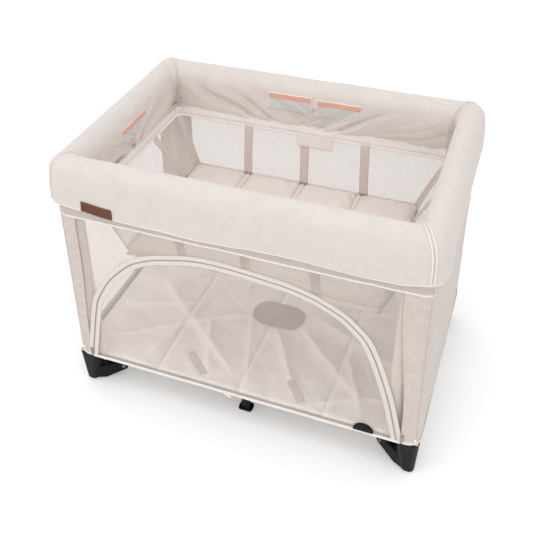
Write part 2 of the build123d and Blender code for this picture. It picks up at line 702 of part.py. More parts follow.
# Hub and middle legs.
save("hub", hub())
save("hub_pins", *hub_pins())
save("hub_handle", hub_handle())
leg_shape, mid_foot_shape = mid_leg(), mid_foot()
for side, sy in (("front", -1), ("back", 1)):
    save(f"mid_leg_{side}", to_corner(leg_shape, 1, sy))
    save(f"mid_foot_{side}", to_corner(mid_foot_shape, 1, sy))

# Rail cover and walls, each in four pieces.
cover = rail_cover()
for side, region in quarters(LENGTH / 2, WIDTH / 2).items():
    save(f"rail_cover_{side}", cover & region)
wall_shell = wall_tube(0) - wall_tube(WALL_THICK)
for side, region in quarters(wall_x, wall_y).items():
    wall = wall_shell & region
    if side == "front":
        wall -= door_prism(-GAP)
    save(f"wall_{side}", wall)
panel_depth = block(-LENGTH, LENGTH, -wall_y, -wall_y + WALL_THICK, 0, RAIL_TOP)
save("door_zip", (door_prism(0) - door_prism(ZIP_WIDTH)) & panel_depth)
save("door_panel", door_prism(ZIP_WIDTH + GAP) & panel_depth)
slider = zip_slider()
for side, sx in (("left", -1), ("right", 1)):
    save(f"zip_slider_{side}", *[to_corner(piece, sx, 1) for piece in slider])

# Floor, mattress and bassinet.
save("floor_panel", floor_panel())
save("mattress", *mattress())
save("bassinet_shell", bassinet_shell())
save("bassinet_pads", *bassinet_pads())
save("bassinet_rods", *bassinet_rods())
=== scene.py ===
import json
import logging
import math
from dataclasses import dataclass, field
from enum import Enum
from typing import Callable, ClassVar, Iterable, Sequence

import bmesh
import bpy
from mathutils import Matrix, Vector, noise


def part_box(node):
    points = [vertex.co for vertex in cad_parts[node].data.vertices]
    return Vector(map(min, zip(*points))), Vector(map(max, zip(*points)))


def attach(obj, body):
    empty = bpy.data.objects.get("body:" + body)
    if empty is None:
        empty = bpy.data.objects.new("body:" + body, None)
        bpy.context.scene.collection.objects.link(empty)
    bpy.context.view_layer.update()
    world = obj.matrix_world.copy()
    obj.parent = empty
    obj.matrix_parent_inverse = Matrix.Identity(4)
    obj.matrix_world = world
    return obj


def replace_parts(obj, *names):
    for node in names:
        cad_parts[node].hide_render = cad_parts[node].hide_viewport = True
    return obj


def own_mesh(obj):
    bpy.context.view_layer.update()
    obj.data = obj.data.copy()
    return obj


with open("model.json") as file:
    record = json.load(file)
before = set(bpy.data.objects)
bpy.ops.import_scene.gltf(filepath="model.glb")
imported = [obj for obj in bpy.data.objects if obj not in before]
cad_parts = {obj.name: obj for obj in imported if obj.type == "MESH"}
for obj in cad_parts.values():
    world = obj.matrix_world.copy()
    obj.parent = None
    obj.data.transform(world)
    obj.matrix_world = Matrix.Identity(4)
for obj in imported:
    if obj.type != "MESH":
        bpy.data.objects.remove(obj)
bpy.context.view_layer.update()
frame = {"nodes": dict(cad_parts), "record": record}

# Looks of a folding travel play yard: padded rail covers, net and cloth walls, an arched zip door,
# a floor mattress and a hanging bassinet. Metres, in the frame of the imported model: +X along the
# long side, +Y from the door to the back, +Z up.

LOG = logging.getLogger("play_yard")
MM = 0.001
UP = Vector((0, 0, 1))
WELD = 0.02 * MM  # points this close together are one
COVER_EDGE = 0.705  # the outer walls' cloth goes up to here, inside the padded cover
INNER_LOW, INNER_TOP = 0.127, 0.700  # foot and top of the cloth that lies further in
BASSINET_RIM = 643 * MM  # height of the bassinet's rim
RIM_X, RIM_Y, RIM_RADIUS = 440 * MM, 276 * MM, 17 * MM  # its half sizes and corner radius

BMesh = bmesh.types.BMesh
Piece = bpy.types.Object
Place = Callable[[float, float], Vector]
Table = Sequence[tuple[float, float]]


# ---------------------------------------------------------------------------------------------
# Small helpers
# ---------------------------------------------------------------------------------------------


def clamp(value: float, low: float = 0.0, high: float = 1.0) -> float:
    """The value, kept between low and high."""
    return max(low, min(high, value))


def mix(a: float, b: float, share: float) -> float:
    """The number that lies at a share of the way from a to b."""
    return a + (b - a) * share


def smooth(edge0: float, edge1: float, value: float) -> float:
    """Rises from 0 at edge0 to 1 at edge1 with level ends."""
    t = clamp((value - edge0) / (edge1 - edge0))
    return t * t * (3 - 2 * t)


def bump_at(value: float, centre: float, width: float) -> float:
    """A bell of height 1 about centre."""
    return math.exp(-(((value - centre) / width) ** 2))


def ripple(point: Sequence[float], size_mm: float, seed: float = 0.0) -> float:
    """Smooth noise between about -1 and 1.

    Args:
        point: where to read it, in metres.
        size_mm: size of one swell.
        seed: another number gives another pattern.

    Returns:
        The noise.
    """
    shift = Vector((seed * 3.7, seed * 1.9 + 4.0, seed * 2.3))
    return noise.noise(Vector(point) / (size_mm * MM) + shift)


def crease(point: Sequence[float], size_mm: float, seed: float = 0.0) -> float:
    """Noise with sharp valleys, like cloth that was folded: 0 in a valley and 1 on a swell."""
    return math.sqrt(abs(ripple(point, size_mm, seed)) + 1e-6)


def value_along(points: Table, x: float) -> float:
    """A smooth curve through points that go up in x, read at x."""
    if x <= points[0][0]:
        return points[0][1]
    for (x0, y0), (x1, y1) in zip(points, points[1:]):
        if x <= x1:
            return mix(y0, y1, smooth(x0, x1, x))
    return points[-1][1]


def lengths(points: Sequence[Vector]) -> list[float]:
    """Distance of each point along its path, from the first."""
    run = [0.0]
    for a, b in zip(points, points[1:]):
        run.append(run[-1] + max((b - a).length, 1e-6))
    return run


def spline_points(control: Sequence[Sequence[float]], count: int) -> list[Vector]:
    """Evenly spaced points on a smooth curve through the control points.

    Args:
        control: the points that it goes through, of two or three numbers each.
        count: how many points to return.

    Returns:
        The points, of the same number of coordinates.
    """
    p = [Vector(c) for c in control]
    p = [p[0] * 2 - p[1]] + p + [p[-1] * 2 - p[-2]]
    dense: list[Vector] = []
    for a, b, c, d in zip(p, p[1:], p[2:], p[3:]):
        for t in (k / 16 for k in range(16)):
            bend = (a * 2 - b * 5 + c * 4 - d) * t**2 + (b * 3 - a - c * 3 + d) * t**3
            dense.append(0.5 * (b * 2 + (c - a) * t + bend))
    dense.append(p[-2])
    run = lengths(dense)
    points, k = [], 0
    for i in range(count):
        want = run[-1] * i / (count - 1)
        while k < len(run) - 2 and run[k + 1] < want:
            k += 1
        share = (want - run[k]) / max(run[k + 1] - run[k], 1e-9)
        points.append(dense[k].lerp(dense[k + 1], clamp(share)))
    return points


def steps(low: float, high: float, spacing: float) -> list[float]:
    """Evenly spaced numbers from low to high, about spacing apart."""
    count = max(1, round(abs(high - low) / spacing))
    return [mix(low, high, i / count) for i in range(count + 1)]


def chain(stops: Sequence[float], *spacings_mm: float) -> list[float]:
    """Numbers from the first stop to the last by way of the others, each stretch with its own spacing."""
    found: set[float] = set()
    for low, high, spacing in zip(stops, stops[1:], spacings_mm):
        found.update(steps(low, high, spacing * MM))
    return sorted(found)


# ---------------------------------------------------------------------------------------------
# Materials
# ---------------------------------------------------------------------------------------------


def linear(colour: str, factor: float = 1.0) -> tuple[float, float, float, float]:
    """An sRGB hex colour as the linear colour that a shader takes, darker or lighter by a factor."""
    parts = [int(colour.lstrip("#")[i : i + 2], 16) / 255 for i in (0, 2, 4)]
    r, g, b = (c / 12.92 if c <= 0.04045 else ((c + 0.055) / 1.055) ** 2.4 for c in parts)
    return (r * factor, g * factor, b * factor, 1.0)


def add_node(
    tree: bpy.types.NodeTree, kind: str, settings: dict | None = None, links: dict | None = None
) -> bpy.types.Node:
    """Adds one shader node.

    Args:
        tree: the node tree that gets it.
        kind: Blender's name of the node, without its ShaderNode.
        settings: values by socket name, socket number or property name.
        links: output sockets by the name or number of the input that they go to.

    Returns:
        The node.
    """
    node = tree.nodes.new(f"ShaderNode{kind}")
    for key, value in (settings or {}).items():
        if isinstance(key, int) or key in node.inputs:
            node.inputs[key].default_value = value
        else:
            setattr(node, key, value)
    for key, source in (links or {}).items():
        tree.links.new(source, node.inputs[key])
    return node


def empty_tree(owner: bpy.types.Material | bpy.types.World) -> bpy.types.NodeTree:
    """Turns on the nodes of a material or a world, and clears them."""
    owner.use_nodes = True
    owner.node_tree.nodes.clear()
    return owner.node_tree


def wave_scale(period_mm: float) -> float:
    """The scale that gives a Wave Texture bands of that period on coordinates in metres."""
    return 2 * math.pi / 20 / (period_mm * MM)


@dataclass(frozen=True)
class Surface:
    """A material: its name, its sRGB colour and the nodes that a subclass gives it."""

    name: str
    colour: str

    def shader(self, tree: bpy.types.NodeTree, uv, spot) -> bpy.types.Node:
        """Adds the nodes and returns the shader; uv and spot are UV and Object coordinates."""
        raise NotImplementedError

    def shades(self, spread: float, above: float | None = None) -> dict:
        """Settings of a Mix node between a darker and a lighter shade of the colour."""
        light = 1 + (spread if above is None else above)
        return {"data_type": "RGBA", 6: linear(self.colour, 1 - spread), 7: linear(self.colour, light)}

    def build(self) -> bpy.types.Material:
        """Makes the material."""
        material = bpy.data.materials.new(self.name)
        tree = empty_tree(material)
        at = add_node(tree, "TexCoord").outputs
        shader = self.shader(tree, at["UV"], at["Object"])
        add_node(tree, "OutputMaterial", {}, {"Surface": shader.outputs[0]})
        return material


@dataclass(frozen=True)
class Cloth(Surface):
    """Plain woven polyester: matt, a fine over-and-under weave, and a slightly uneven dye.

    The real thread is about 0.4 mm. It is drawn at thread_mm, because 0.4 mm is too fine to show.
    With a fold shade above 0 its colour carries painted shade and light: a little darker in the valleys and
    lighter on the crests that the piece's fold attribute marks.
    """

    thread_mm: float = 2.2
    relief: float = 0.35
    mottle: float = 0.05
    sheen: float = 0.15
    roughness: float = 0.9
    folds: float = 0.0
    cloud_mm: ClassVar[float] = 45
    fleck_mm: ClassVar[float] = 2.5

    def shader(self, tree: bpy.types.NodeTree, uv, spot) -> bpy.types.Node:
        """Adds the weave along the UV map, the dye's clouds and flecks, and the painted shade and light of
        the folds.
        """
        scale = wave_scale(self.thread_mm)
        warp, weft = (
            add_node(
                tree, "TexWave", {"bands_direction": way, "Scale": scale, "Distortion": 0.6}, {"Vector": uv}
            ).outputs["Fac"]
            for way in ("X", "Y")
        )
        weave = add_node(tree, "Math", {"operation": "MULTIPLY"}, {0: warp, 1: weft})
        cloud = add_node(
            tree,
            "TexNoise",
            {"Scale": 1 / (self.cloud_mm * MM), "Detail": 4.0, "Roughness": 0.6},
            {"Vector": spot},
        )
        fine = {"Scale": 1 / (self.fleck_mm * MM), "Detail": 2.0}
        fleck = add_node(tree, "TexNoise", fine, {"Vector": spot})
        both = {0: fleck.outputs["Fac"], 2: cloud.outputs["Fac"]}
        blend = add_node(tree, "Math", {"operation": "MULTIPLY_ADD", 1: 0.5}, both)
        shade = add_node(tree, "MapRange", {"From Min": 0.45, "From Max": 1.05}, {"Value": blend.outputs[0]})
        dye_and_fold_shade = add_node(tree, "Mix", self.shades(self.mottle), {0: shade.outputs["Result"]}).outputs[2]
        # Painted shade: the fold attribute scales the colour, darker in fold valleys and lighter on crests.
        if self.folds:
            fold = add_node(tree, "Attribute", {"attribute_name": "fold"})
            span = {"To Min": 1 - self.folds, "To Max": 1 + self.folds * 0.8}
            depth = add_node(tree, "MapRange", span, {"Value": fold.outputs["Fac"]})
            darker = {0: dye_and_fold_shade, "Scale": depth.outputs["Result"]}
            dye_and_fold_shade = add_node(tree, "VectorMath", {"operation": "SCALE"}, darker).outputs["Vector"]
        bump = add_node(
            tree, "Bump", {"Strength": self.relief, "Distance": 0.4 * MM}, {"Height": weave.outputs[0]}
        )
        matt = {
            "Roughness": self.roughness,
            "Sheen Weight": self.sheen,
            "Sheen Roughness": 0.5,
            "Specular IOR Level": 0.25,
        }
        return add_node(tree, "BsdfPrincipled", matt, {"Base Color": dye_and_fold_shade, "Normal": bump.outputs["Normal"]})


@dataclass(frozen=True)
class Net(Surface):
    """Knitted polyester netting: open cells, and threads that let some light through from behind.

    The real cells are about 1.2 mm across. They are drawn at cell_mm, the least that shows.
    """

    cell_mm: float = 2.7
    open_alpha: float = 0.18
    thread_alpha: float = 0.46
    through: ClassVar[float] = 0.4

    def shader(self, tree: bpy.types.NodeTree, uv, spot) -> bpy.types.Node:
        """Adds the cells, slanting across the UV map, and mixes the threads with clear."""
        slant = {"Rotation": (0.0, 0.0, math.radians(45))}
        turned = add_node(tree, "Mapping", slant, {"Vector": uv}).outputs["Vector"]
        scale = wave_scale(self.cell_mm)
        threads = {}
        for i, way in enumerate(("X", "Y")):
            wave = add_node(tree, "TexWave", {"bands_direction": way, "Scale": scale}, {"Vector": turned})
            threads[i] = wave.outputs["Fac"]
        knit = add_node(tree, "Math", {"operation": "MAXIMUM"}, threads).outputs[0]
        cells = {"From Min": 0.35, "From Max": 1.0, "To Min": self.open_alpha, "To Max": self.thread_alpha}
        alpha = add_node(tree, "MapRange", cells, {"Value": knit})
        bump = add_node(tree, "Bump", {"Strength": 0.2, "Distance": 0.3 * MM}, {"Height": knit})
        matt = {"Base Color": linear(self.colour), "Roughness": 0.85, "Specular IOR Level": 0.2}
        face = add_node(tree, "BsdfPrincipled", matt, {"Normal": bump.outputs["Normal"]})
        behind = add_node(tree, "BsdfTranslucent", {"Color": linear(self.colour)})
        thread = add_node(tree, "MixShader", {0: self.through}, {1: face.outputs[0], 2: behind.outputs[0]})
        clear = add_node(tree, "BsdfTransparent")
        parts = {0: alpha.outputs["Result"], 1: clear.outputs[0], 2: thread.outputs[0]}
        return add_node(tree, "MixShader", {}, parts)


@dataclass(frozen=True)
class Webbing(Surface):
    """Woven polyester tape: a low rib across it and a soft satin shine along the rib."""

    rib_mm: float = 2.6
    relief: float = 0.5

    def shader(self, tree: bpy.types.NodeTree, uv, spot) -> bpy.types.Node:
        """Adds the rib, which runs across the UV map, whose U goes along the tape."""
        bands = {"bands_direction": "X", "Scale": wave_scale(self.rib_mm), "Distortion": 0.3}
        rib = add_node(tree, "TexWave", bands, {"Vector": uv}).outputs["Fac"]
        colour = add_node(tree, "Mix", self.shades(0.07, 0.03), {0: rib})
        bump = add_node(tree, "Bump", {"Strength": self.relief, "Distance": 0.3 * MM}, {"Height": rib})
        satin = {"Roughness": 0.7, "Sheen Weight": 0.1, "Specular IOR Level": 0.35}
        face = {"Base Color": colour.outputs[2], "Normal": bump.outputs["Normal"]}
        return add_node(tree, "BsdfPrincipled", satin, face)


@dataclass(frozen=True)
class Solid(Surface):
    """A hard material with a fine grain: moulded nylon, powder-coated steel, bare steel or leather.

    The grain breaks up the shine, and the colour shifts a little with wear.
    """

    roughness: float
    grain_mm: float
    relief: float = 0.25
    metallic: float = 0.0
    spread: float = 0.08
    cells: bool = False
    shine: float = 0.5
    wear_mm: ClassVar[float] = 30

    def shader(self, tree: bpy.types.NodeTree, uv, spot) -> bpy.types.Node:
        """Adds the grain, as cells for leather, and the wear, both in Object coordinates."""
        scale, at = {"Scale": 1 / (self.grain_mm * MM)}, {"Vector": spot}
        if self.cells:
            edges = add_node(tree, "TexVoronoi", {"feature": "DISTANCE_TO_EDGE", **scale}, at)
            height = edges.outputs["Distance"]
        else:
            height = add_node(tree, "TexNoise", {**scale, "Detail": 3.0}, at).outputs["Fac"]
        broad = {"Scale": 1 / (self.wear_mm * MM), "Detail": 3.0}
        wear = add_node(tree, "TexNoise", broad, at).outputs["Fac"]
        colour = add_node(tree, "Mix", self.shades(self.spread), {0: wear})
        dull = {"To Min": self.roughness * 0.85, "To Max": min(1.0, self.roughness * 1.15)}
        rough = add_node(tree, "MapRange", dull, {"Value": wear})
        bump = add_node(tree, "Bump", {"Strength": self.relief, "Distance": 0.2 * MM}, {"Height": height})
        face = {
            "Base Color": colour.outputs[2],
            "Roughness": rough.outputs["Result"],
            "Normal": bump.outputs["Normal"],
        }
        settings = {"Metallic": self.metallic, "Specular IOR Level": self.shine}
        return add_node(tree, "BsdfPrincipled", settings, face)


class Finish(Enum):
    """Every finish of the yard, named for the real material; some also carry painted light or shade, as their
    comments say.
    """

    # The cover's fold shade paints shade into the skirt's fold valleys and paints the skirt lighter than the
    # roll.
    COVER = Cloth("padded_woven_polyester", "#DAD2CD", relief=0.45, folds=0.14)
    WALL = Cloth("woven_polyester_wall", "#D2C9C3", relief=0.35)
    TRIM = Cloth("woven_polyester_trim", "#F1EBE6", thread_mm=1.8, relief=0.3, mottle=0.03)
    # Partly the gathered cloth's own tone and partly painted shade: darker than the cover for the shade that
    # the corner strips and the inner band by the left strip lie in; its fold shade paints shade into the
    # gathers.
    GATHER = Cloth("gathered_polyester", "#D3C7C0", relief=0.3, mottle=0.02, folds=0.09)
    # Darker than the cover: partly the collar cloth's own tone and partly painted shade from the hem above
    # it.
    COLLAR = Cloth("woven_polyester_collar", "#C9BEB7", relief=0.3, mottle=0.03)
    # A lighter copy of the sleeve cloth: painted light for the back sleeves, which lie in shade.
    LINING = Cloth("woven_polyester_lining", "#F3ECE7", relief=0.3, mottle=0.03)
    SLEEVE = Cloth("woven_polyester_sleeve", "#DFD6D0", relief=0.3, mottle=0.05)
    ZIP_BAND = Cloth("gathered_zip_band", "#F4EEEA", thread_mm=1.8, relief=0.3, mottle=0.05)
    PAD = Cloth("quilted_polyester_pad", "#E9DFD9", relief=0.35)
    UNDERSIDE = Cloth("woven_polyester_underside", "#CABEB7", relief=0.3)
    # The mattress's fold shade paints light and shade on the slopes of its folds.
    MATTRESS = Cloth("woven_polyester_mattress", "#FCF7F4", relief=0.3, mottle=0.02, folds=0.25)
    PATCH = Cloth("stitched_felt_patch", "#978880", thread_mm=2.0, relief=0.5, mottle=0.08)
    FLOOR = Cloth("coated_oxford_floor", "#CFC4BD", thread_mm=2.0, relief=0.5)
    LABEL_EDGE = Cloth("satin_label_edge", "#F8F9FA", thread_mm=1.2, relief=0.1, sheen=0.3, roughness=0.6)
    LABEL_BODY = Cloth("satin_label_body", "#D3D2D1", thread_mm=1.2, relief=0.1, sheen=0.3, roughness=0.6)
    LABEL_HEAD = Cloth("satin_label_head", "#E6AD98", thread_mm=1.2, relief=0.1, sheen=0.3, roughness=0.6)
    WALL_NET = Net("knitted_net_wall", "#F0E7E1", open_alpha=0.26, thread_alpha=0.56)
    BASSINET_NET = Net("knitted_net_bassinet", "#E0D8D3", open_alpha=0.22, thread_alpha=0.50)
    STRAP = Webbing("woven_tape_strap", "#D6CAC3")
    ZIP_TAPE = Webbing("woven_zip_tape", "#E2DAD4", rib_mm=1.8, relief=0.3)
    ZIP_COIL = Webbing("moulded_zip_coil", "#B4A9A2", rib_mm=2.4, relief=1.0)
    THREAD = Webbing("waxed_thread", "#8E6A55", rib_mm=1.0, relief=0.2)
    LEATHER = Solid("waxed_leather", "#642F19", 0.5, 1.4, relief=0.3, cells=True)
    NYLON = Solid("glass_filled_nylon", "#0D0E12", 0.42, 0.8, relief=0.2, shine=0.22)
    COATED_STEEL = Solid("powder_coated_steel", "#0D0E11", 0.34, 1.2, relief=0.15, shine=0.3)
    RIVET_STEEL = Solid("zinc_plated_steel", "#A6A5A3", 0.32, 2.0, relief=0.1, metallic=1.0)
    BUTTON = Solid("acetal_button", "#55565A", 0.4, 0.8, relief=0.1)
    SLIDER = Solid("cast_zinc_slider", "#B0A49B", 0.4, 1.0, relief=0.1, metallic=0.6)
    ROD = Solid("glass_fibre_rod", "#C9C3BC", 0.5, 1.0, relief=0.1)

    @property
    def material(self) -> bpy.types.Material:
        """The Blender material, made the first time that it is asked for."""
        return bpy.data.materials.get(self.value.name) or self.value.build()


# ---------------------------------------------------------------------------------------------
# Places
# ---------------------------------------------------------------------------------------------


@dataclass(frozen=True)
class Layout:
    """Main sizes and places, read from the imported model."""

    half_x: float
    half_y: float
    top: float
    hem: float
    wall_x: float
    wall_foot_x: float
    wall_y: float
    wall_low: float
    post_x: float
    post_y: float
    cradle_x: float
    cradle_y: float
    cradle_low: float
    mattress_x: float
    mattress_y: float
    mattress_low: float
    mattress_top: float

    @classmethod
    def read(cls) -> "Layout":
        """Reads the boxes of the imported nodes."""
        cover_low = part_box("rail_cover_front")[0]
        cover_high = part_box("rail_cover_right")[1]
        wall_low, wall_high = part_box("wall_right")
        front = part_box("wall_front")[0]
        post_low, post_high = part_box("post_br")
        floor_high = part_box("bassinet_pads")[1]
        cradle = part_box("bassinet_shell")[0]
        bed_low, bed_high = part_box("mattress")
        tuck, lean, slack = 38 * MM, 5.8 * MM, 2.6 * MM
        return cls(
            half_x=cover_high.x,
            half_y=-cover_low.y,
            top=cover_high.z,
            hem=wall_high.z - tuck,
            wall_x=cover_high.x - lean,
            wall_foot_x=wall_high.x,
            wall_y=-front.y,
            wall_low=wall_low.z,
            post_x=(post_low.x + post_high.x) / 2,
            post_y=(post_low.y + post_high.y) / 2,
            cradle_x=floor_high.x + slack,
            cradle_y=floor_high.y + slack,
            cradle_low=cradle.z,
            mattress_x=bed_high.x,
            mattress_y=bed_high.y,
            mattress_low=bed_low.z,
            mattress_top=bed_high.z,
        )


@dataclass(frozen=True)
class Perimeter:
    """A rounded rectangle, walked anticlockwise from the middle of its front, seen from above."""

    half_x: float
    half_y: float
    radius: float

    @property
    def legs(self) -> list[float]:
        """Lengths of its nine stretches: half the front, then arcs and sides in turn."""
        a, b = self.half_x - self.radius, self.half_y - self.radius
        arc = math.pi / 2 * self.radius
        return [a, arc, 2 * b, arc, 2 * a, arc, 2 * b, arc, a]

    @property
    def length(self) -> float:
        """The whole way round."""
        return sum(self.legs)

    def corner(self, index: int) -> float:
        """How far round the middle of a corner is: 0 front right, 1 back right, 2 back left, 3 front left."""
        return sum(self.legs[: 2 * index + 1]) + self.legs[1] / 2

    def stations(
        self, spacing: float, corner_spacing: float, low: float = 0.0, high: float = -1.0
    ) -> list[float]:
        """Distances at which to cut it into columns, closer together round the corners.

        Args:
            spacing: on the straight sides.
            corner_spacing: round the corners.
            low: where to start.
            high: where to end, or -1 for the whole way round.

        Returns:
            The distances.
        """
        high = self.length if high < 0 else high
        found, start = [], 0.0
        for i, leg in enumerate(self.legs):
            count = max(1, round(leg / (corner_spacing if i % 2 else spacing)))
            found += [start + leg * k / count for k in range(count)]
            start += leg
        inner = [s for s in found if low + 1e-4 < s < high - 1e-4]
        return [low, *inner, high]

    def at(self, s: float, half_x: float, half_y: float, radius: float) -> tuple[Vector, Vector]:
        """The matching point of a rectangle of other sizes, and the way out there.

        Args:
            s: how far round this one.
            half_x: the other's half length.
            half_y: the other's half width.
            radius: the other's corner radius.

        Returns:
            The point and the unit vector, both level.
        """
        s %= self.length
        legs, k = self.legs, 0
        while k < 8 and s > legs[k]:
            s -= legs[k]
            k += 1
        f = s / legs[k]
        a, b = half_x - radius, half_y - radius
        if k in (1, 3, 5, 7):
            turn = math.radians(-90 + 90 * (k - 1) / 2 + 90 * f)
            centre = Vector(((a, a, -a, -a)[k // 2], (-b, b, b, -b)[k // 2], 0))
            out = Vector((math.cos(turn), math.sin(turn), 0))
            return centre + out * radius, out
        ends = {
            0: ((0, -half_y), (a, -half_y), (0, -1)),
            2: ((half_x, -b), (half_x, b), (1, 0)),
            4: ((a, half_y), (-a, half_y), (0, 1)),
            6: ((-half_x, b), (-half_x, -b), (-1, 0)),
            8: ((-a, -half_y), (0, -half_y), (0, -1)),
        }[k]
        start, end, out = (Vector((*e, 0)) for e in ends)
        return start.lerp(end, f), out


# ---------------------------------------------------------------------------------------------
# Meshes and pieces
# ---------------------------------------------------------------------------------------------


def cloth_grid(
    columns: Sequence[float],
    rows: Sequence[float],
    place: Place,
    closed: bool = False,
    depth: Callable[[float, float], float] | None = None,
) -> BMesh:
    """A grid of quads laid on a surface, with a UV map in metres.

    Args:
        columns: distances along the cloth, in metres.
        rows: distances across it, in metres.
        place: gives the point of each pair of distances.
        closed: joins the last column to the first.
        depth: gives how far out of a fold's valley a place lies, from 0 to 1, for the painted shade in the
            cloth's colour.

    Returns:
        The bmesh. Its faces look along columns cross rows.
    """
    bm = bmesh.new()
    bmesh.ops.create_grid(bm, x_segments=len(columns) - 1, y_segments=len(rows) - 1, size=1.0)
    uv = bm.loops.layers.uv.new("UVMap")
    # The fold layer carries painted shade for the cloth's colour.
    layer = bm.verts.layers.float.new("fold") if depth else None
    spots = {}
    for v in bm.verts:
        i = round((v.co.x + 1) / 2 * (len(columns) - 1))
        j = round((v.co.y + 1) / 2 * (len(rows) - 1))
        spots[v] = (columns[i], rows[j])
    for v, (s, t) in spots.items():
        v.co = place(s, t)
        if depth:
            v[layer] = clamp(depth(s, t))
    for loop in (loop for face in bm.faces for loop in face.loops):
        loop[uv].uv = spots[loop.vert]
    if closed:
        weld(bm)
    return bm


def path_grid(
    points: Sequence[Vector], rows: Sequence[float], place: Callable[[int, float, float], Vector]
) -> BMesh:
    """A grid of quads laid along a path.

    Args:
        points: the points of the path.
        rows: distances across it, in metres.
        place: gives a point from a path point's number, its distance along and the distance across.

    Returns:
        The bmesh, with a UV map in metres.
    """
    run = lengths(points)
    number = {r: k for k, r in enumerate(run)}
    return cloth_grid(run, rows, lambda s, t: place(number[s], s, t))


def heading(points: Sequence[Vector], k: int) -> Vector:
    """The way that a path goes at its point k."""
    return (points[min(k + 1, len(points) - 1)] - points[max(k - 1, 0)]).normalized()


def tube(points: Sequence[Vector], radius: float, sides: int = 10, up: Vector = UP) -> BMesh:
    """A round cord along points, with a UV map in metres.

    Args:
        points: the points along its middle.
        radius: its radius.
        sides: faces round it.
        up: a direction that the path never follows.

    Returns:
        The bmesh.
    """

    def lay(k: int, s: float, t: float) -> Vector:
        way = heading(points, k)
        side = way.cross(up).normalized()
        turn = t / radius
        return points[k] + (side * math.cos(turn) + side.cross(way) * math.sin(turn)) * radius

    around = 2 * math.pi * radius
    bm = path_grid(points, [around * k / sides for k in range(sides + 1)], lay)
    weld(bm, WELD / 2)
    face_out(bm)
    return bm


def strap(points: Sequence[Vector], width: float, across: Vector) -> BMesh:
    """A flat strap along points, so wide, whose faces look along its path cross across."""

    def lay(k: int, s: float, t: float) -> Vector:
        way = heading(points, k)
        return points[k] + (across - way * across.dot(way)).normalized() * t

    return path_grid(points, steps(-width / 2, width / 2, width / 6), lay)


def cushion(columns: Sequence[float], rows: Sequence[float], top: Place, under: Place) -> BMesh:
    """A closed cushion: an upper and a lower face that meet along a seam.

    Args:
        columns: distances along it.
        rows: distances across it.
        top: gives the points of its upper face.
        under: gives the points of its lower face, the same as top's along the edge.

    Returns:
        The bmesh.
    """
    bm = cloth_grid(columns, rows, top)
    lower = cloth_grid(columns, rows, under)
    turn_over(lower)
    merge(bm, lower)
    weld(bm)
    return bm


def map_flat(bm: BMesh, axis: int) -> None:
    """Lays the UV map straight along X and one other axis, in metres."""
    uv = bm.loops.layers.uv.active
    for loop in (loop for face in bm.faces for loop in face.loops):
        loop[uv].uv = (loop.vert.co.x, loop.vert.co[axis])


def weld(bm: BMesh, distance: float = WELD) -> None:
    """Joins the points that lie within a distance of each other."""
    bmesh.ops.remove_doubles(bm, verts=bm.verts[:], dist=distance)


def turn_over(bm: BMesh) -> None:
    """Makes every face look the other way."""
    bmesh.ops.reverse_faces(bm, faces=bm.faces[:])


def face_out(bm: BMesh) -> None:
    """Makes the faces of each closed part look outwards."""
    bmesh.ops.recalc_face_normals(bm, faces=bm.faces[:])


def cut(bm: BMesh, point: Sequence[float], away: Sequence[float]) -> None:
    """Cuts the mesh by a plane and drops the part on the side that away points to."""
    geometry = bm.verts[:] + bm.edges[:] + bm.faces[:]
    bmesh.ops.bisect_plane(bm, geom=geometry, plane_co=point, plane_no=away, clear_outer=True)


def keep_normals(bm: BMesh) -> None:
    """Stores each point's normal, so that the parts of a cut mesh shade as one."""
    bm.normal_update()
    layer = bm.verts.layers.float_vector.new("whole_normal")
    for v in bm.verts:
        v[layer] = v.normal


def mark_folds(bm: BMesh, depth: Callable[[Vector], float]) -> None:
    """Stores each point's level of painted light and shade, from 0 to 1, for the cloth's colour: 0 is
    darkest.
    """
    layer = bm.verts.layers.float.new("fold")
    for v in bm.verts:
        v[layer] = clamp(depth(v.co))


def merge(bm: BMesh, other: BMesh) -> None:
    """Adds another bmesh to a bmesh, and uses the other up."""
    mesh = bpy.data.meshes.new("merged")
    other.to_mesh(mesh)
    other.free()
    bm.from_mesh(mesh)
    bpy.data.meshes.remove(mesh)


def thicken(piece: Piece, thickness_mm: float, offset: float) -> None:
    """Gives a sheet a real thickness: in front of its faces with an offset of 1, behind them with -1."""
    solid = piece.modifiers.new("thickness", "SOLIDIFY")
    solid.thickness, solid.offset, solid.use_even_offset = thickness_mm * MM, offset, False


def new_object(name: str, data: bpy.types.ID) -> Piece:
    """Makes an object of a mesh, light or camera and puts it into the scene."""
    made = bpy.data.objects.new(name, data)
    bpy.context.scene.collection.objects.link(made)
    return made


def add_piece(
    name: str, bm: BMesh, finish: Finish, body: str = "", thick: tuple[float, float] | None = None
) -> Piece:
    """Turns a bmesh into a smooth piece of the yard.

    Args:
        name: the piece's name.
        bm: its mesh, which is used up.
        finish: its finish.
        body: the body that it rides on, where the caller doesn't choose one later.
        thick: a sheet's thickness in mm and the side that it goes to, as thicken takes them.

    Returns:
        The object, at the origin.
    """
    mesh = bpy.data.meshes.new(name)
    bm.to_mesh(mesh)
    bm.free()
    mesh.shade_smooth()
    whole = mesh.attributes.get("whole_normal")
    if whole is not None:
        normals = [Vector(d.vector).normalized() for d in whole.data]
        mesh.attributes.remove(whole)
        mesh.normals_split_custom_set_from_vertices(normals)
    mesh.materials.append(finish.material)
    piece = new_object(name, mesh)
    if body:
        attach(piece, body)
    if thick:
        thicken(piece, *thick)
    LOG.info("%s: %d faces", name, len(mesh.polygons))
    return piece


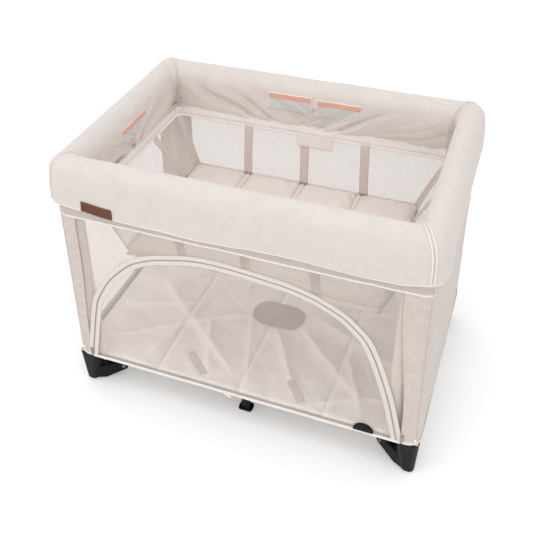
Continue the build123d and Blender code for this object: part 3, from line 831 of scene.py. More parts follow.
def settle(piece: Piece, pressure: float, frames: int, cap: float) -> None:
    """Puffs a cushion up by a short cloth simulation, held along its seam.

    Args:
        piece: the cushion.
        pressure: pressure inside it.
        frames: how many frames it runs.
        cap: the furthest that a point may move.
    """
    mesh = piece.data
    rest = [v.co.copy() for v in mesh.vertices]
    seam = piece.vertex_groups.new(name="seam")
    (x0, x1), (y0, y1), (z0, z1) = ((min(c[i] for c in rest), max(c[i] for c in rest)) for i in range(3))
    for v in mesh.vertices:
        reach = min(v.co.x - x0, x1 - v.co.x, v.co.y - y0, y1 - v.co.y)
        weight = 1.0 if v.co.z < (z0 + z1) / 2 else 1 - smooth(0, 7 * MM, reach)
        seam.add([v.index], weight, "REPLACE")
    cloth = piece.modifiers.new("cloth", "CLOTH")
    values = {
        "quality": 5,
        "mass": 0.15,
        "tension_stiffness": 25,
        "compression_stiffness": 25,
        "bending_stiffness": 0.6,
        "use_pressure": True,
        "uniform_pressure_force": pressure,
        "shrink_min": -0.035,
        "vertex_group_mass": "seam",
    }
    for key, value in values.items():
        setattr(cloth.settings, key, value)
    cloth.settings.effector_weights.gravity = 0.0
    cloth.collision_settings.use_collision = False
    cloth.point_cache.frame_start, cloth.point_cache.frame_end = 1, frames
    scene = bpy.context.scene
    for number in range(1, frames + 1):
        scene.frame_set(number)
    result = piece.evaluated_get(bpy.context.evaluated_depsgraph_get()).data
    moved = [v.co.copy() for v in result.vertices]
    piece.modifiers.remove(cloth)
    for v, before, after in zip(mesh.vertices, rest, moved):
        step = after - before
        v.co = before + (step if step.length < cap else step * (cap / step.length))
    scene.frame_set(1)
    LOG.info("%s: settled", piece.name)


class Zone(Enum):
    """The eight parts that cloth round the yard is cut into, so that it can follow the fold.

    Each has its name in piece names, its side along X and along Y, where 0 is both, and its corner.
    """

    FRONT = ("front", 0, -1, "fl")
    RIGHT = ("right", 1, 0, "fr")
    BACK = ("back", 0, 1, "br")
    LEFT = ("left", -1, 0, "bl")
    CORNER_FL = ("corner_fl", -1, -1, "fl")
    CORNER_FR = ("corner_fr", 1, -1, "fr")
    CORNER_BR = ("corner_br", 1, 1, "br")
    CORNER_BL = ("corner_bl", -1, 1, "bl")

    @property
    def label(self) -> str:
        """The zone's name in piece names."""
        return self.value[0]

    @property
    def body(self) -> str:
        """The corner body that the zone rides on."""
        return f"corner_{self.value[3]}"

    @classmethod
    def corners(cls) -> tuple["Zone", ...]:
        """The corners in the order in which the perimeter passes them."""
        return (cls.CORNER_FR, cls.CORNER_BR, cls.CORNER_BL, cls.CORNER_FL)


@dataclass
class Fold:
    """How cloth follows the fold: each part rides the body of its zone's corner."""

    seam_x: float = 424 * MM
    seam_y: float = 260.5 * MM
    joint: str = "fold"
    least: float = 0.03  # the shortest that a side may get, as a share of its length
    keep_x: float = 0.2
    keep_y: float = 0.2

    def __post_init__(self) -> None:
        """Works out how far the corners travel from the fold's own pivots."""
        joints = {j["name"]: j for j in frame["record"]["behaviour"]["joints"]}
        lead, foot = joints[self.joint], joints["foot_pivot_fl"]
        share = 1 - math.cos(math.radians(lead["range_deg"][1]))
        travel = [abs(a - b) * share for a, b in zip(foot["pos_m"], lead["pos_m"])]
        self.keep_x = max(self.least, (self.seam_x - travel[0]) / self.seam_x)
        self.keep_y = max(self.least, (self.seam_y - travel[1]) / self.seam_y)

    def follow(self, piece: Piece, zone: Zone, rides: bool = True) -> Piece:
        """Lets a piece ride its zone's corner, and gives a piece that lies between corners its own copy of
        its mesh.

        Args:
            piece: the piece.
            zone: where it lies.
            rides: False where the caller has chosen another body for it.

        Returns:
            The piece.
        """
        if rides:
            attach(piece, zone.body)
        _, sx, sy, _ = zone.value
        if not sx:
            axis, anchor, keep = (1, 0, 0), (sy * self.seam_x, 0, 0), self.keep_x
            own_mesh(piece)
            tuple(axis)
            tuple(anchor)
        elif not sy:
            axis, anchor, keep = (0, 1, 0), (0, -sx * self.seam_y, 0), self.keep_y
            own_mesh(piece)
            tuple(axis)
            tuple(anchor)
        return piece

    def to_zone(self, bm: BMesh, zone: Zone) -> BMesh:
        """A copy of a mesh that goes round the yard, cut to one zone."""
        part = bm.copy()
        _, sx, sy, _ = zone.value
        if sx and sy:
            cut(part, (sx * self.seam_x, 0, 0), (-sx, 0, 0))
            cut(part, (0, sy * self.seam_y, 0), (0, -sy, 0))
        else:
            cut(part, (0, 0, 0), (-sx, -sy, 0))
            for way in (1, -1):
                if sy:
                    cut(part, (way * self.seam_x, 0, 0), (way, 0, 0))
                else:
                    cut(part, (0, way * self.seam_y, 0), (0, way, 0))
        return part

    def split(
        self, name: str, bm: BMesh, finish: Finish, slot: str, thick: tuple[float, float] | None = None
    ) -> dict[Zone, Piece]:
        """Cuts a mesh that goes round the yard into zones and lets each part follow the fold.

        Args:
            name: start of the pieces' names.
            bm: the mesh, which is used up.
            finish: their finish.
            slot: not used.
            thick: their thickness, as add_piece takes it.

        Returns:
            The pieces by zone, without the zones that hold none of it.
        """
        keep_normals(bm)
        pieces = {}
        for zone in Zone:
            part = self.to_zone(bm, zone)
            if part.faces:
                piece = add_piece(f"{name}_{zone.label}", part, finish, thick=thick)
                pieces[zone] = self.follow(piece, zone)
            else:
                part.free()
        bm.free()
        return pieces


# ---------------------------------------------------------------------------------------------
# The padded cover of the top rails
# ---------------------------------------------------------------------------------------------


@dataclass
class RailCover:
    """Padded cloth over the top rails: a fat roll outside, and a skirt that hangs down inside.

    Each corner has two rows of topstitching, and the outer hem is a thin rolled edge.
    """

    layout: Layout
    fold: Fold
    ring: Perimeter
    outer_radius: float = 42 * MM
    inner_radius: float = 17 * MM
    stitch_gap: float = 4.2 * MM
    profile: list[Vector] = field(default_factory=list)
    runs: list[float] = field(default_factory=list)
    pieces: dict[Zone, Piece] = field(default_factory=dict)

    # Distance in from the outer face and height, both in mm, from the hem over the top to the skirt.
    SECTION = (
        (2.0, 708), (-1.5, 693), (-3.6, 686.0), (-6.0, 684.0), (-8.2, 686.2), (-8.4, 691), (-7.6, 697),
        (-7.4, 712), (-6.6, 735), (-4.6, 757), (-0.8, 776), (5.5, 791.5), (14, 803), (24, 809.5),
        (35, 811.6), (46, 810), (56, 803.5), (63.5, 793), (68.5, 778), (71, 760), (72, 738),
        (71.5, 712), (70.6, 690), (70, 676), (69.4, 668), (67.5, 664), (65.2, 667), (64.8, 680),
    )  # fmt: skip
    SECTION_FOOT, SECTION_HEIGHT = 686, 126
    # X and how far the front hem lies below or above its mean height, in mm.
    FRONT_HEM = (
        (-0.505, 4.0), (-0.485, 1.0), (-0.421, -4.0), (-0.328, -12.5), (-0.218, -14.5), (-0.100, -18.0),
        (0.0, -14.0), (0.052, -9.0), (0.179, -7.5), (0.253, -11.0), (0.325, -14.5), (0.418, -12.0),
        (0.480, -2.0), (0.505, 1.0),
    )  # fmt: skip
    # Y and how far the foot of the right roll stands out, in mm.
    RIGHT_BULGE = (
        (-0.345, -1.0), (-0.310, 0.0), (-0.277, 3.0), (-0.253, 4.5), (-0.207, 1.0), (-0.145, 0.0),
        (0.188, 1.0),
    )  # fmt: skip
    # How far from the middle of each corner its seam lies.
    SEAM_SHIFTS = (-18 * MM, 18 * MM, -18 * MM, -4 * MM)

    def __post_init__(self) -> None:
        """Works out the section's curve and its lengths."""
        foot = self.SECTION_FOOT
        scale = (self.layout.top / MM - foot) / self.SECTION_HEIGHT
        control = [(d * MM, (foot + (z - foot) * scale) * MM) for d, z in self.SECTION]
        self.profile = spline_points(control, 240)
        self.runs = lengths(self.profile)

    def section(self, t: float) -> tuple[Vector, Vector]:
        """The point (inwards, up) of the section at a distance along it, and its outward normal."""
        last = len(self.runs) - 2
        k = min(last, int(t / self.runs[-1] * (last + 1)))
        while k > 0 and self.runs[k] > t:
            k -= 1
        while k < last and self.runs[k + 1] < t:
            k += 1
        share = clamp((t - self.runs[k]) / (self.runs[k + 1] - self.runs[k]))
        before, after = self.profile[max(0, k - 2)], self.profile[min(len(self.profile) - 1, k + 3)]
        tangent = (after - before).normalized()
        return self.profile[k].lerp(self.profile[k + 1], share), Vector((tangent.y, tangent.x))

    def row_at(self, height: float) -> float:
        """Distance along the section at which its inner face is at a height."""
        for k in range(len(self.profile) - 1, 0, -1):
            if self.profile[k].x > 68 * MM and self.profile[k].y >= height:
                return self.runs[k]
        return self.runs[-1]

    def row_outside(self, height: float) -> float:
        """Distance along the section at which its outer face is at a height."""
        rows = zip(self.profile, self.runs)
        return next((run for p, run in rows if p.x < 1 * MM and p.y >= height), 0.0)

    def gap(self, s: float, corner: int) -> float:
        """Distance from a place round the yard to the middle of a corner, with its sign."""
        length = self.ring.length
        return (s - self.ring.corner(corner) + length / 2) % length - length / 2

    def near(self, s: float, width_mm: float) -> float:
        """1 at the middle of a corner, easing off to 0 over about a width."""
        return max(bump_at(self.gap(s, c), 0, width_mm * MM) for c in range(4))

    def inside(self, x: float) -> float:
        """0 on the roll and 1 on the skirt, by the distance in from the outer face."""
        return smooth(52 * MM, 66 * MM, x)

    def place(self, s: float, t: float, lift: float = 0.0) -> Vector:
        """A point of the cover.

        Args:
            s: distance round the yard.
            t: distance along the section.
            lift: how far above the cloth.

        Returns:
            The point.
        """
        layout = self.layout
        where, normal = self.section(t)
        radius = mix(self.outer_radius, self.inner_radius, smooth(0, 70 * MM, where.x))
        base, out = self.ring.at(s, layout.half_x - where.x, layout.half_y - where.x, radius)
        face = (out * normal.x + UP * normal.y).normalized()
        point = base + UP * where.y
        outside = 1 - smooth(20 * MM, 45 * MM, where.x)
        low = smooth(770 * MM, 700 * MM, where.y)
        inside = self.inside(where.x)

        swell = 1.5 * ripple(point, 150, 1) + 0.7 * ripple(point, 55, 2)
        fine = 0.28 * ripple(point, 16, 3)
        point += face * (swell + fine) * MM * (1 - 0.35 * inside)
        seam = min(abs(abs(self.gap(s, c) - self.SEAM_SHIFTS[c]) - self.stitch_gap) for c in range(4))
        point += face * (1.3 * MM * bump_at(seam, 0, 1.8 * MM) - 0.8 * MM * bump_at(seam, 4.6 * MM, 1.8 * MM))

        point += face * 3.5 * MM * self.near(s, 30) * smooth(765 * MM, 785 * MM, where.y) * (1 - inside)
        if outside > 0:
            if out.y < -0.5:
                point.z += value_along(self.FRONT_HEM, point.x) * MM * low * outside
            elif out.x > 0.5:
                point.x += value_along(self.RIGHT_BULGE, point.y) * MM * low * outside
                point.z += 3.5 * MM * low * ripple(point, 120, 5)
            else:
                point.z += 5 * MM * low * ripple(point, 130, 5)
            tug = crease((s, where.y * 0.35, 0), 42, 7)
            point += face * (tug - 0.55) * 1.6 * MM * self.near(s, 75) * outside
        if inside > 0:
            hang = smooth(790 * MM, 700 * MM, where.y)
            point += face * self.drape(s, where.y) * inside * MM
            point.z += 2.6 * MM * hang * inside * ripple((s, 0, 0), 60, 14)
        return point + face * lift

    def drape(self, s: float, z: float) -> float:
        """How far the hanging skirt stands out at a place round and a height, in mm."""
        near = self.near(s, 80)
        hang = smooth(792 * MM, 715 * MM, z)
        corner = min((self.gap(s, c) for c in range(4)), key=abs)
        fan = s + (z - 0.80) * clamp(corner / 0.25, -1, 1) * 1.8
        broad = crease((fan, z * 0.25, 0.4), 80, 11) - 0.62
        tuck = crease((fan * 1.2, z * 0.4, 2.4), 36, 12) - 0.6
        gather = crease((s, z * 0.25, 5.0), 13, 13) - 0.5
        return hang * (broad * 8.0 + tuck * (2.5 + 3.0 * near) + gather * 4.5 * near)

    def depth(self, s: float, t: float) -> float:
        """Painted light and shade of a place of the cover, from 0 to 1: darker in the skirt's fold valleys,
        and lighter over the skirt than on the roll.
        """
        where, _ = self.section(t)
        return 0.55 + self.inside(where.x) * (0.35 + self.drape(s, where.y) / 7.0)

    def build(self) -> None:
        """Makes the cover's cloth, in zones, with columns close together at the seams."""
        columns = set(self.ring.stations(5.0 * MM, 2.0 * MM))
        for corner, shift in enumerate(self.SEAM_SHIFTS):
            middle = self.ring.corner(corner) + shift
            columns |= {middle + k * 0.9 * MM for k in range(-11, 12)}
        kept = [min(columns)]
        for s in sorted(columns):
            if s - kept[-1] > 0.5 * MM:
                kept.append(s)
        kept[-1] = self.ring.length
        rows, t, end, ends = [0.0], 0.0, self.runs[-1], 30 * MM
        while t < end:
            t = min(end, t + (1.3 * MM if t < ends or t > end - ends else 3.6 * MM))
            rows.append(t)
        bm = cloth_grid(kept, rows, self.place, closed=True, depth=self.depth)
        self.pieces = self.fold.split("padded_cover", bm, Finish.COVER, "padded_fabric")
        for zone in (Zone.FRONT, Zone.RIGHT, Zone.BACK, Zone.LEFT):
            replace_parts(self.pieces[zone], f"rail_cover_{zone.label}")

    def seams(self) -> None:
        """The two rows of topstitching over each corner, and the piping along the outer hem, whose light trim
        colour is partly a painted highlight of the rolled hem.
        """
        rows = steps(9 * MM, self.runs[-1] - 12 * MM, 3 * MM)
        for corner, zone in enumerate(Zone.corners()):
            middle, bm = self.ring.corner(corner) + self.SEAM_SHIFTS[corner], bmesh.new()
            for side in (-1, 1):
                centre = middle + side * self.stitch_gap
                columns = steps(centre - 1.5 * MM, centre + 1.5 * MM, 0.75 * MM)
                merge(bm, cloth_grid(columns, rows, lambda s, t: self.place(s, t, 0.9 * MM)))
            seam = add_piece(f"corner_seam_{zone.label}", bm, Finish.TRIM, thick=(0.8, 0))
            self.fold.follow(seam, zone)
        lowest = min(range(60), key=lambda k: self.profile[k].y)
        row = self.runs[lowest + 1]
        points = [self.place(s, row, 0.4 * MM) for s in self.ring.stations(5 * MM, 2 * MM)]
        # The hem piping is partly real piping and partly a painted highlight along the rolled hem.
        self.fold.split("hem_piping", tube(points, 1.7 * MM), Finish.TRIM, "padded_fabric")

    def dress(self) -> None:
        """Adds the seams, the labels inside and the leather tag on the front hem."""
        self.seams()
        legs = self.ring.legs
        back = sum(legs[:4]) + legs[0]
        left = sum(legs[:6]) + legs[2] / 2
        self.label("label_back_left", Zone.BACK, back - 0.015, back + 0.139, 0.715, 0.769)
        self.label("label_back_right", Zone.BACK, back - 0.183, back - 0.030, 0.711, 0.767)
        self.label("label_left", Zone.LEFT, left - 0.090, left + 0.084, 0.706, 0.759)
        self.tag()

    def label(self, name: str, zone: Zone, start: float, end: float, low: float, high: float) -> None:
        """A woven satin label: white edge, coral head and grey body.

        Args:
            name: its name.
            zone: where it lies.
            start: one end, as a distance round the yard.
            end: the other end.
            low: height of its lower edge.
            high: height of its upper edge.
        """
        top, foot = self.row_at(high), self.row_at(low)
        rim, split = 2.6 * MM, mix(top, foot, 0.34)
        parts = (
            ("edge", Finish.LABEL_EDGE, start, end, top, foot, 0.8),
            ("head", Finish.LABEL_HEAD, start + rim, end - rim, top + rim, split, 1.5),
            ("body", Finish.LABEL_BODY, start + rim, end - rim, split, foot - rim, 1.5),
        )
        for part, finish, a, b, c, d, lift in parts:
            columns, rows = steps(a, b, 3 * MM), steps(c, d, 2 * MM)
            bm = cloth_grid(columns, rows, lambda s, t: self.place(s, t, lift * MM))
            piece = add_piece(f"{name}_{part}", bm, finish, thick=(0.35, 1))
            self.fold.follow(piece, zone)

    def tag(self) -> None:
        """The leather tag over the front hem, with a row of stitches along its ends."""
        high, low = self.row_outside(0.7135), self.row_outside(0.6905) - 1.5 * MM
        start, end = -0.4050, -0.3170
        round_end, above = 3 * MM, 3.0 * MM

        def lay(s: float, t: float, lift: float = 1.2 * MM) -> Vector:
            edge = min(s - start, end - s)
            pull = (1 - math.sqrt(clamp(1 - (1 - clamp(edge / round_end)) ** 2))) * round_end
            middle = (high + low) / 2
            return self.place(s + self.ring.length, mix(t, middle, pull / (high - low) * 2), lift)

        bm = cloth_grid(steps(start, end, 2 * MM), steps(low, high, 1.5 * MM), lay)
        piece = add_piece("leather_tag", bm, Finish.LEATHER, thick=(1.6, 1))
        bevel = piece.modifiers.new("edge", "BEVEL")
        bevel.width, bevel.segments, bevel.limit_method = 0.5 * MM, 2, "ANGLE"
        stitches = bmesh.new()
        for t in steps(low + 3 * MM, high - 3 * MM, 4.2 * MM):
            for s in (start + 3.2 * MM, end - 3.2 * MM):
                self.stitch(stitches, lay(s, t, above), UP)
        for s in steps(start + 5 * MM, end - 5 * MM, 4.4 * MM):
            self.stitch(stitches, lay(s, high - 2.6 * MM, above), Vector((1, 0, 0)))
        thread = add_piece("leather_tag_stitches", stitches, Finish.THREAD)
        for part in (piece, thread):
            self.fold.follow(part, Zone.FRONT)

    @staticmethod
    def stitch(bm: BMesh, centre: Vector, along: Vector) -> None:
        """Adds one stitch of thread to a bmesh, at centre and lying along a direction."""
        turn = Vector((1, 0, 0)).rotation_difference(along).to_matrix().to_4x4()
        size = Matrix.Diagonal((3.0 * MM, 0.7 * MM, 0.7 * MM, 1))
        bmesh.ops.create_cube(bm, size=1.0, matrix=Matrix.Translation(centre) @ turn @ size)


# ---------------------------------------------------------------------------------------------
# Walls, door and tapes
# ---------------------------------------------------------------------------------------------


@dataclass
class Walls:
    """The outer walls: cloth at the right and round the posts, netting elsewhere, and a bound foot."""

    layout: Layout
    fold: Fold
    ring: Perimeter
    cover: RailCover
    radius: float = 36 * MM
    net_top: float = 655 * MM
    collar_low: float = 643 * MM
    band_top: float = 157 * MM
    strip_inset: float = 30 * MM
    post_wrap: float = 19 * MM

    # Height and distance from the middle at which the front strips end, in metres.
    STRIP_RIGHT = ((0.12, 0.4725), (0.178, 0.468), (0.634, 0.432), (0.72, 0.426))
    STRIP_LEFT = ((0.12, 0.4735), (0.159, 0.4716), (0.565, 0.4506), (0.72, 0.443))

    @property
    def foot(self) -> float:
        """The height of the cloth's lower edge, a little above the walls' own."""
        return self.layout.wall_low + 1 * MM

    def half_x(self, z: float) -> float:
        """The wall's half length at a height: it leans out towards its foot."""
        layout = self.layout
        share = clamp((layout.hem - z) / (layout.hem - layout.wall_low))
        return mix(layout.wall_x, layout.wall_foot_x, share)

    def place(self, s: float, z: float, lift: float = 0.0) -> Vector:
        """A point of the walls: s is the distance round, z the height and lift how far outside."""
        point, out = self.ring.at(s, self.half_x(z), self.layout.wall_y, self.radius)
        return point + out * lift + Vector((0, 0, z))

    def front_s(self, x: float, z: float) -> float:
        """The distance round at which the front wall has that x, at a height."""
        return x / (self.half_x(z) - self.radius) * self.ring.legs[0]

    def front(self, x: float, z: float, lift: float = 0.0) -> Vector:
        """A point of the front wall's face, at x and z and so far outside it."""
        return Vector((x, -self.layout.wall_y - lift, z))

    def build(self) -> None:
        """Makes every wall."""
        self.cloth()
        self.nets()
        self.collar()
        self.foot_binding()
        self.corner_piping()
        self.sleeves()

    def hang(
        self,
        name: str,
        bm: BMesh,
        finish: Finish,
        held: str = "stretched",
        thick: tuple[float, float] | None = (0.6, -1),
        slot: str = "cream_fabric",
        holders: dict[Zone, Piece] | None = None,
    ) -> dict[Zone, Piece]:
        """Cuts cloth that goes round the yard into zones, each riding its zone's corner.

        Args:
            name: start of the pieces' names.
            bm: its mesh, which is used up.
            finish: its finish.
            thick: its thickness, as add_piece takes it.
            slot: the record's material slot.
            holders: not used.

        Returns:
            The pieces by zone.
        """
        pieces = self.fold.split(name, bm, finish, slot, thick)
        return pieces

    def pleats(self, s: float, z: float) -> float:
        """Height of the small gathers in a strip of cloth, from about -1 to 1."""
        small = crease((s * 0.45, z * 1.2 + s * 0.2, 1.0), 8, 21) - 0.55
        broad = crease((s * 0.8, z * 0.7, 8.0), 22, 24) - 0.6
        return small + broad * 1.1

    def cloth_face(self, s: float, z: float, lift: float) -> Vector:
        """A point of the plain cloth walls, with their long soft folds."""
        base = self.place(s, z)
        long_fold = crease((s, z * 0.12, 3.0), 55, 22) - 0.6
        return self.place(s, z, lift + (long_fold * 1.1 + ripple(base, 160, 23) * 1.6) * MM)

    def cloth(self) -> None:
        """The cloth parts: the right wall with its back corner, and the gathered corner strips."""
        legs, ring = self.ring.legs, self.ring
        start, end = ring.corner(0), sum(legs[:4]) + legs[0] - self.front_s(0.450, 0.4)
        columns = ring.stations(6 * MM, 2.5 * MM, start, end)
        rows = steps(self.foot, COVER_EDGE, 5 * MM)
        bm = cloth_grid(columns, rows, lambda s, z: self.cloth_face(s, z, 0.6 * MM))
        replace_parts(self.hang("wall_cloth", bm, Finish.WALL)[Zone.RIGHT], "wall_right")
        for name, corner, edge in (
            ("strip_right", 0, lambda z: self.front_s(value_along(self.STRIP_RIGHT, z), z)),
            ("strip_left", 3, lambda z: ring.length + self.front_s(-value_along(self.STRIP_LEFT, z), z)),
            ("strip_left_side", 3, lambda z: sum(legs[:7]) - self.strip_inset),
            ("strip_back", 2, lambda z: sum(legs[:5]) - self.strip_inset),
            ("strip_back_side", 2, lambda z: sum(legs[:6]) + self.strip_inset),
        ):
            self.strip(name, ring.corner(corner), edge)

    def strip(self, name: str, corner: float, edge: Callable[[float], float]) -> None:
        """A gathered strip of cloth from the middle of a corner to the netting.

        Args:
            name: start of the pieces' names.
            corner: distance round of the middle of the corner.
            edge: the distance round at which it ends, by height.
        """
        mid_height = 0.4
        forward = edge(mid_height) > corner
        width = abs(edge(mid_height) - corner)

        def spot(u: float, z: float) -> float:
            share = u / width if forward else 1 - u / width
            return mix(corner, edge(z), share)

        def lay(u: float, z: float) -> Vector:
            s = spot(u, z)
            near = smooth(0, 5 * MM, min(abs(s - edge(z)), abs(s - corner)))
            return self.place(s, z, (1.2 + self.pleats(s, z) * 1.9 * near) * MM)

        # Painted shade: the strip's colour is darker in the valleys of its gathers.
        bm = cloth_grid(
            steps(0, width, 2 * MM),
            steps(self.foot, COVER_EDGE, 2.6 * MM),
            lay,
            depth=lambda u, z: 0.6 + self.pleats(spot(u, z), z) * 0.55,
        )
        self.hang(name, bm, Finish.GATHER, "gathered")

    def nets(self) -> None:
        """The netting of the left and back walls, with a band of cloth along its foot."""
        legs = self.ring.legs
        spans = {
            Zone.BACK: (sum(legs[:4]) + 8 * MM, sum(legs[:5]) - 26 * MM, "wall_back"),
            Zone.LEFT: (sum(legs[:6]) + 26 * MM, sum(legs[:7]) - 26 * MM, "wall_left"),
        }

        def net(s: float, z: float) -> Vector:
            sway = ripple((s, z, 2.0), 190, 31) * 2.6 + ripple((s, z, 5.0), 60, 32) * 0.6
            return self.place(s, z, (sway - 1.5) * MM)

        for zone, (start, end, node) in spans.items():
            columns = steps(start, end, 9 * MM)
            bm = cloth_grid(columns, steps(self.band_top - 6 * MM, self.net_top, 9 * MM), net)
            nets = self.hang(f"net_{zone.label}", bm, Finish.WALL_NET, thick=None, slot="bassinet_mesh")
            rows = steps(self.foot, self.band_top, 5 * MM)
            bm = cloth_grid(columns, rows, lambda s, z: self.cloth_face(s, z, 0.2 * MM))
            self.hang(f"wall_band_{zone.label}", bm, Finish.WALL, holders=nets)
            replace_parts(nets[zone], node)

    def collar(self) -> None:
        """The strip that shows under the cover's hem at the front, left and back, with a bound edge."""
        ring, low = self.ring, self.collar_low
        end = ring.corner(0) - 1 * MM
        columns = ring.stations(5 * MM, 2.2 * MM, ring.corner(1), ring.length)
        columns += [ring.length + s for s in ring.stations(5 * MM, 2.2 * MM, 0.0, end)[1:]]

        def sag(s: float) -> float:
            return (ripple((s, 0, 0), 110, 41) * 2.0 + ripple((s, 0, 0), 38, 42) * 0.7) * MM

        def lay(s: float, z: float, share: float, lift: float) -> Vector:
            flutter = ripple((s, z, 0), 45, 43) * 1.1 * share
            return self.place(s, z + sag(s) * share, (lift + flutter) * MM)

        def strip(s: float, z: float) -> Vector:
            return lay(s, z, clamp((INNER_TOP - z) / (INNER_TOP - low)), 1.6)

        bm = cloth_grid(columns, steps(low, INNER_TOP, 4 * MM), strip)
        # The collar's colour is partly painted shade from the cover's hem above it.
        strips = self.fold.split("collar", bm, Finish.COLLAR, "cream_fabric", (0.7, -1))
        rows = steps(low - 2.5 * MM, low + 3.5 * MM, 1.5 * MM)
        bm = cloth_grid(columns, rows, lambda s, z: lay(s, z, 1.0, 2.4))
        edges = self.fold.split("collar_edge", bm, Finish.TRIM, "zip_tape", (1.2, -1))

    def foot_binding(self) -> None:
        """The bound edge along the foot of the walls."""
        around = 16 * MM

        def bind(s: float, t: float) -> Vector:
            turn = math.radians(mix(-150, 70, t / around))
            wave = ripple((s, 0, 0), 90, 51) * 1.4 * MM
            z = self.foot + wave + 6.2 * MM * math.sin(turn)
            return self.place(s % self.ring.length, z, (0.8 + 2.2 * math.cos(turn)) * MM)

        columns = self.ring.stations(6 * MM, 2.2 * MM)
        bm = cloth_grid(columns, steps(0, around, 1.6 * MM), bind, closed=True)
        self.hang("foot_binding", bm, Finish.TRIM, "folded", (0.8, -1), "zip_tape")

    def corner_piping(self) -> None:
        """The piping down each corner of the walls."""
        heights = steps(self.foot + 1 * MM, INNER_TOP, 6 * MM)
        for corner, zone in enumerate(Zone.corners()):
            points = [self.place(self.ring.corner(corner), z, 2.2 * MM) for z in heights]
            cord = tube(points, 1.1 * MM, 8, Vector((1, 0, 0)))
            piece = add_piece(f"corner_piping_{zone.label}", cord, Finish.SLEEVE)
            self.fold.follow(piece, zone)

    def sleeves(self) -> None:
        """The cloth inside each corner that wraps the post."""
        layout, r = self.layout, self.post_wrap
        px, py = layout.post_x, layout.post_y
        path = (
            (px - 58 * MM, layout.wall_y - 5 * MM),
            (px - 30 * MM, layout.wall_y - 7.5 * MM),
            (px - r * 1.08, py + r * 0.1),
            (px - r * 0.8, py - r * 0.8),
            (px + r * 0.1, py - r * 1.08),
            (layout.wall_x - 10 * MM, py - 34 * MM),
            (layout.wall_x - 5 * MM, py - 54 * MM),
        )
        curve = spline_points(path, 26)
        run = lengths(curve)
        where = dict(zip(run, curve))
        for zone in (Zone.CORNER_FL, Zone.CORNER_FR, Zone.CORNER_BR, Zone.CORNER_BL):
            _, sx, sy, name = zone.value

            def wrap(s: float, z: float) -> Vector:
                p = where[s]
                tuck = crease((s, z * 0.25, sx * 3 + sy), 30, 61) - 0.6
                spread = (self.half_x(z) - layout.wall_x) * smooth(run[-1] * 0.6, run[-1], s)
                return Vector((sx * (p.x + spread), sy * p.y, z)) - Vector((sx, sy, 0)) * tuck * 2.5 * MM

            bm = cloth_grid(run[::-1] if sx * sy < 0 else run, steps(INNER_LOW, INNER_TOP, 8 * MM), wrap)
            # Painted light: the back sleeves get a lighter copy of the sleeve cloth because they lie in
            # shade.
            finish = Finish.SLEEVE if sy < 0 else Finish.LINING
            piece = add_piece(f"post_sleeve_{name}", bm, finish, f"corner_{name}", (0.6, 0))


